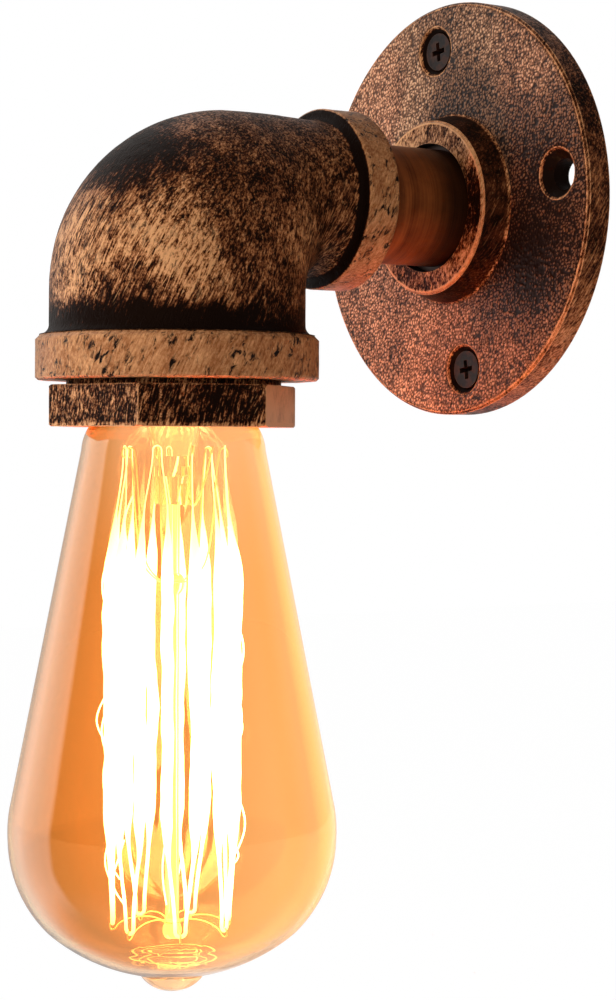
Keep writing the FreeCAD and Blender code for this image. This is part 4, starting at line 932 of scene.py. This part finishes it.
def build_supports(name, legs, course, material):
    """Bent support wires from the rod out to the hooks that hold the filament, and the ring
    that they start from."""
    vertices, faces = [], []
    for leg in legs:
        path = smooth_path([around((leg + 1) * LEG_STEP, radius, high)
                            for radius, high in course])
        tube(vertices, faces, path, [HOOK_WIRE] * len(path))
    ring = [around(FULL_TURN * index / 32, RING_RADIUS, course[0][1]) for index in range(33)]
    tube(vertices, faces, ring, [RING_WIRE] * len(ring))
    return add_mesh(name, vertices, faces, material, "bulb")


# ------------------------------------------------------------------ finer copies of CAD nodes
def welded(name):
    """A copy of a CAD node's mesh with its seams closed."""
    mesh = bmesh.new()
    mesh.from_mesh(NODES[name].data)
    bmesh.ops.remove_doubles(mesh, verts=mesh.verts, dist=1e-6)
    bmesh.ops.triangulate(mesh, faces=mesh.faces)
    return mesh


def refine(mesh, longest, wanted):
    """Halves long edges where wanted(point in millimetres) is true."""
    for _ in range(8):
        long_edges = [edge for edge in mesh.edges
                      if edge.calc_length() > longest * MM
                      and wanted((edge.verts[0].co + edge.verts[1].co) / 2 / MM)]
        if not long_edges:
            break
        bmesh.ops.subdivide_edges(mesh, edges=long_edges, cuts=1)
        bmesh.ops.triangulate(mesh, faces=[face for face in mesh.faces if len(face.verts) > 3])


def stand_in(mesh, name, piece, material, body, sharp=None):
    """Shows a reworked mesh in place of a CAD node; edges over the sharp angle stay crisp."""
    data = bpy.data.meshes.new(piece)
    mesh.to_mesh(data)
    mesh.free()
    data.materials.clear()
    data.materials.append(material)
    for face in data.polygons:
        face.use_smooth = True
        face.material_index = 0
    if sharp is not None:
        data.set_sharp_from_angle(angle=math.radians(sharp))
    item = bpy.data.objects.new(piece, data)
    bpy.context.scene.collection.objects.link(item)
    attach(item, body)
    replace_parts(item, name)


def cast_copy(name, piece, material, longest, wanted, depth):
    """A casting's finer mesh with small lumps worked into it. It stays inside the solid."""
    mesh = welded(name)
    refine(mesh, longest, wanted)
    mesh.normal_update()
    for vertex in mesh.verts:
        point = vertex.co
        if not wanted(point / MM):
            continue
        slow = noise.noise(point * 210.0)
        fine = noise.noise(point * 700.0 + Vector((3.1, 0.2, 7.7)))
        push = depth * MM * (0.5 + 0.62 * slow + 0.30 * fine)
        vertex.co = point - vertex.normal * max(push, 0.0)
    stand_in(mesh, name, piece, material, "elbow_arm", 32)


# Where the castings' outer skins lie: distances from the axis of the lower mouth, of the side
# mouth and of the bend between them
LOWER_SKIN = 22.2
SIDE_SKIN = 15.5
SIDE_END = -52.0
BEND_SKIN = 20.5
BEND_CENTRE = Vector((0.0, -50.0, -25.0))
BEND_RADIUS = 25.4
HEX_SKIN = 20.5
HEX_TOP = -38.0


def elbow_outside(point):
    """True on the outer skin of the elbow, so the threads and the wire chamber stay as they
    are."""
    if point.z < -0.1 and out_from_bulb(point) > LOWER_SKIN:
        return True
    if point.y > SIDE_END:
        return math.hypot(point.x, point.z) > SIDE_SKIN
    out = Vector((0.0, point.y, point.z)) - BEND_CENTRE
    return math.hypot(out.length - BEND_RADIUS, point.x) > BEND_SKIN


def bushing_outside(point):
    """True on the hexagon's outside."""
    return point.z < HEX_TOP and out_from_bulb(point) > HEX_SKIN


# ------------------------------------------------------------------ pebbles of the wall plate
PEBBLE_PITCH = 0.72
PEBBLE_RISE = 0.20
PEBBLE_STEP = 0.25
SKIN_INNER = 19.75
SKIN_OUTER = 42.6
SKIN_HOLE = 5.3


def build_pebbles(material):
    """The cast pebbles of the plate's face: a thin skin that runs out at every edge."""
    count = int(SKIN_OUTER / PEBBLE_STEP)
    index_of, vertices, marks, faces = {}, [], [], []
    for column in range(-count, count + 1):
        for row in range(-count, count + 1):
            x, z = column * PEBBLE_STEP, row * PEBBLE_STEP
            reach = math.hypot(x, z)
            if reach > SKIN_OUTER or reach < SKIN_INNER + 0.05:
                continue
            gap = min(SKIN_OUTER - reach, reach - SKIN_INNER,
                      min(math.hypot(x - a, z - b) for a, b in HOLE_PLACES) - SKIN_HOLE)
            if gap < 0:
                continue
            near, second = noise.voronoi(Vector((x, z, 0.3)) / PEBBLE_PITCH,
                                         distance_metric="DISTANCE")[0][:2]
            top = eased((second - near) / 0.36)
            size = 0.75 + 0.35 * noise.noise(Vector((x, z, 5.0)) * 0.9)
            fade = eased(gap / 0.5)
            rise = (0.035 + PEBBLE_RISE * top * size) * fade - 0.02 * (1 - fade)
            index_of[(column, row)] = len(vertices)
            vertices.append((x, FACE_LEVEL - rise, z))
            marks.append(top * (0.8 + 0.2 * size) * (0.35 + 0.65 * fade))
    for (column, row), first in index_of.items():
        corners = [index_of.get(key) for key in ((column + 1, row), (column + 1, row + 1),
                                                 (column, row + 1))]
        if None not in corners:
            faces.append((first, *corners))
    item = add_mesh("pebbled_face", vertices, faces, material, "wall_plate")
    mark = item.data.attributes.new("pebble", "FLOAT", "POINT")
    mark.data.foreach_set("value", marks)


# ------------------------------------------------------------------ putting it together
def dress(name, material):
    """Gives a CAD node its material."""
    item = NODES[name]
    item.data.materials.clear()
    item.data.materials.append(material)
    for face in item.data.polygons:
        face.material_index = 0


def dress_all():
    """Materials for the CAD nodes, and the finer pieces that take the place of some."""
    brass = plain_metal("brass", (0.80, 0.58, 0.24), 0.28)
    zinc = plain_metal("zinc", (0.60, 0.60, 0.62), 0.32)
    nickel = plain_metal("nickel", (0.74, 0.72, 0.68), 0.25)
    wire = lit_wire()
    hot = glowing()
    pairs = {
        "wall_flange": plate_paint(), "wall_screws": black_screw(),
        "pipe_nipple": turned_tube(),
        "lampholder_body": plain_dull("porcelain", (0.82, 0.80, 0.75), 0.5),
        "sealing_washer": plain_dull("fibre", (0.30, 0.07, 0.04), 0.7),
        "screw_shell": nickel, "cap_shell": nickel, "centre_contact": brass,
        "side_contact": brass, "contact_rivets": brass, "live_terminal": brass,
        "neutral_terminal": brass, "terminal_screws": zinc, "earth_lug": zinc,
        "earth_screw": brass, "cap_tip_contact": zinc,
        "live_lead": plain_dull("brown_pvc", (0.16, 0.06, 0.025), 0.45),
        "neutral_lead": plain_dull("blue_pvc", (0.03, 0.12, 0.45), 0.45),
        "earth_lead": striped_insulation(),
        "cap_insulator": plain_dull("black_glass", (0.02, 0.02, 0.025), 0.2),
        "glass_stem": clear_glass("stem_glass", (0.97, 0.93, 0.82), 0.15, (1.0, 0.80, 0.50)),
        "centre_rod": clear_glass("rod_glass", (1.0, 0.9, 0.5), 1.3, (1.0, 0.88, 0.32)),
    }
    for name, material in pairs.items():
        dress(name, material)
    stand_in(welded("bulb_glass"), "bulb_glass", "blown_envelope", amber_glass(), "bulb")
    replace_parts(build_leads(wire), "lead_in_wires")
    build_ripples(clear_glass("ripple_glass", (1.0, 0.92, 0.7), 0.9, (1.0, 0.74, 0.28)))
    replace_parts(build_filament(hot), "filament")
    top_legs, foot_legs = range(1, CAGE_LEGS - 1, 2), range(0, CAGE_LEGS, 2)
    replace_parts(build_supports("top_hooks", top_legs, TOP_COURSE, wire), "upper_supports")
    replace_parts(build_supports("foot_hooks", foot_legs, FOOT_COURSE, wire), "lower_supports")
    cast_copy("reducing_elbow", "cast_elbow", elbow_paint(), 0.9, elbow_outside, 0.07)
    cast_copy("hex_bushing", "cast_bushing", hex_paint(), 0.7, bushing_outside, 0.03)
    build_pebbles(pebble_paint())


def main():
    bpy.context.scene.view_settings.view_transform = "Standard"
    make_camera()
    studio_world()
    floor()
    lights()
    dress_all()


main()
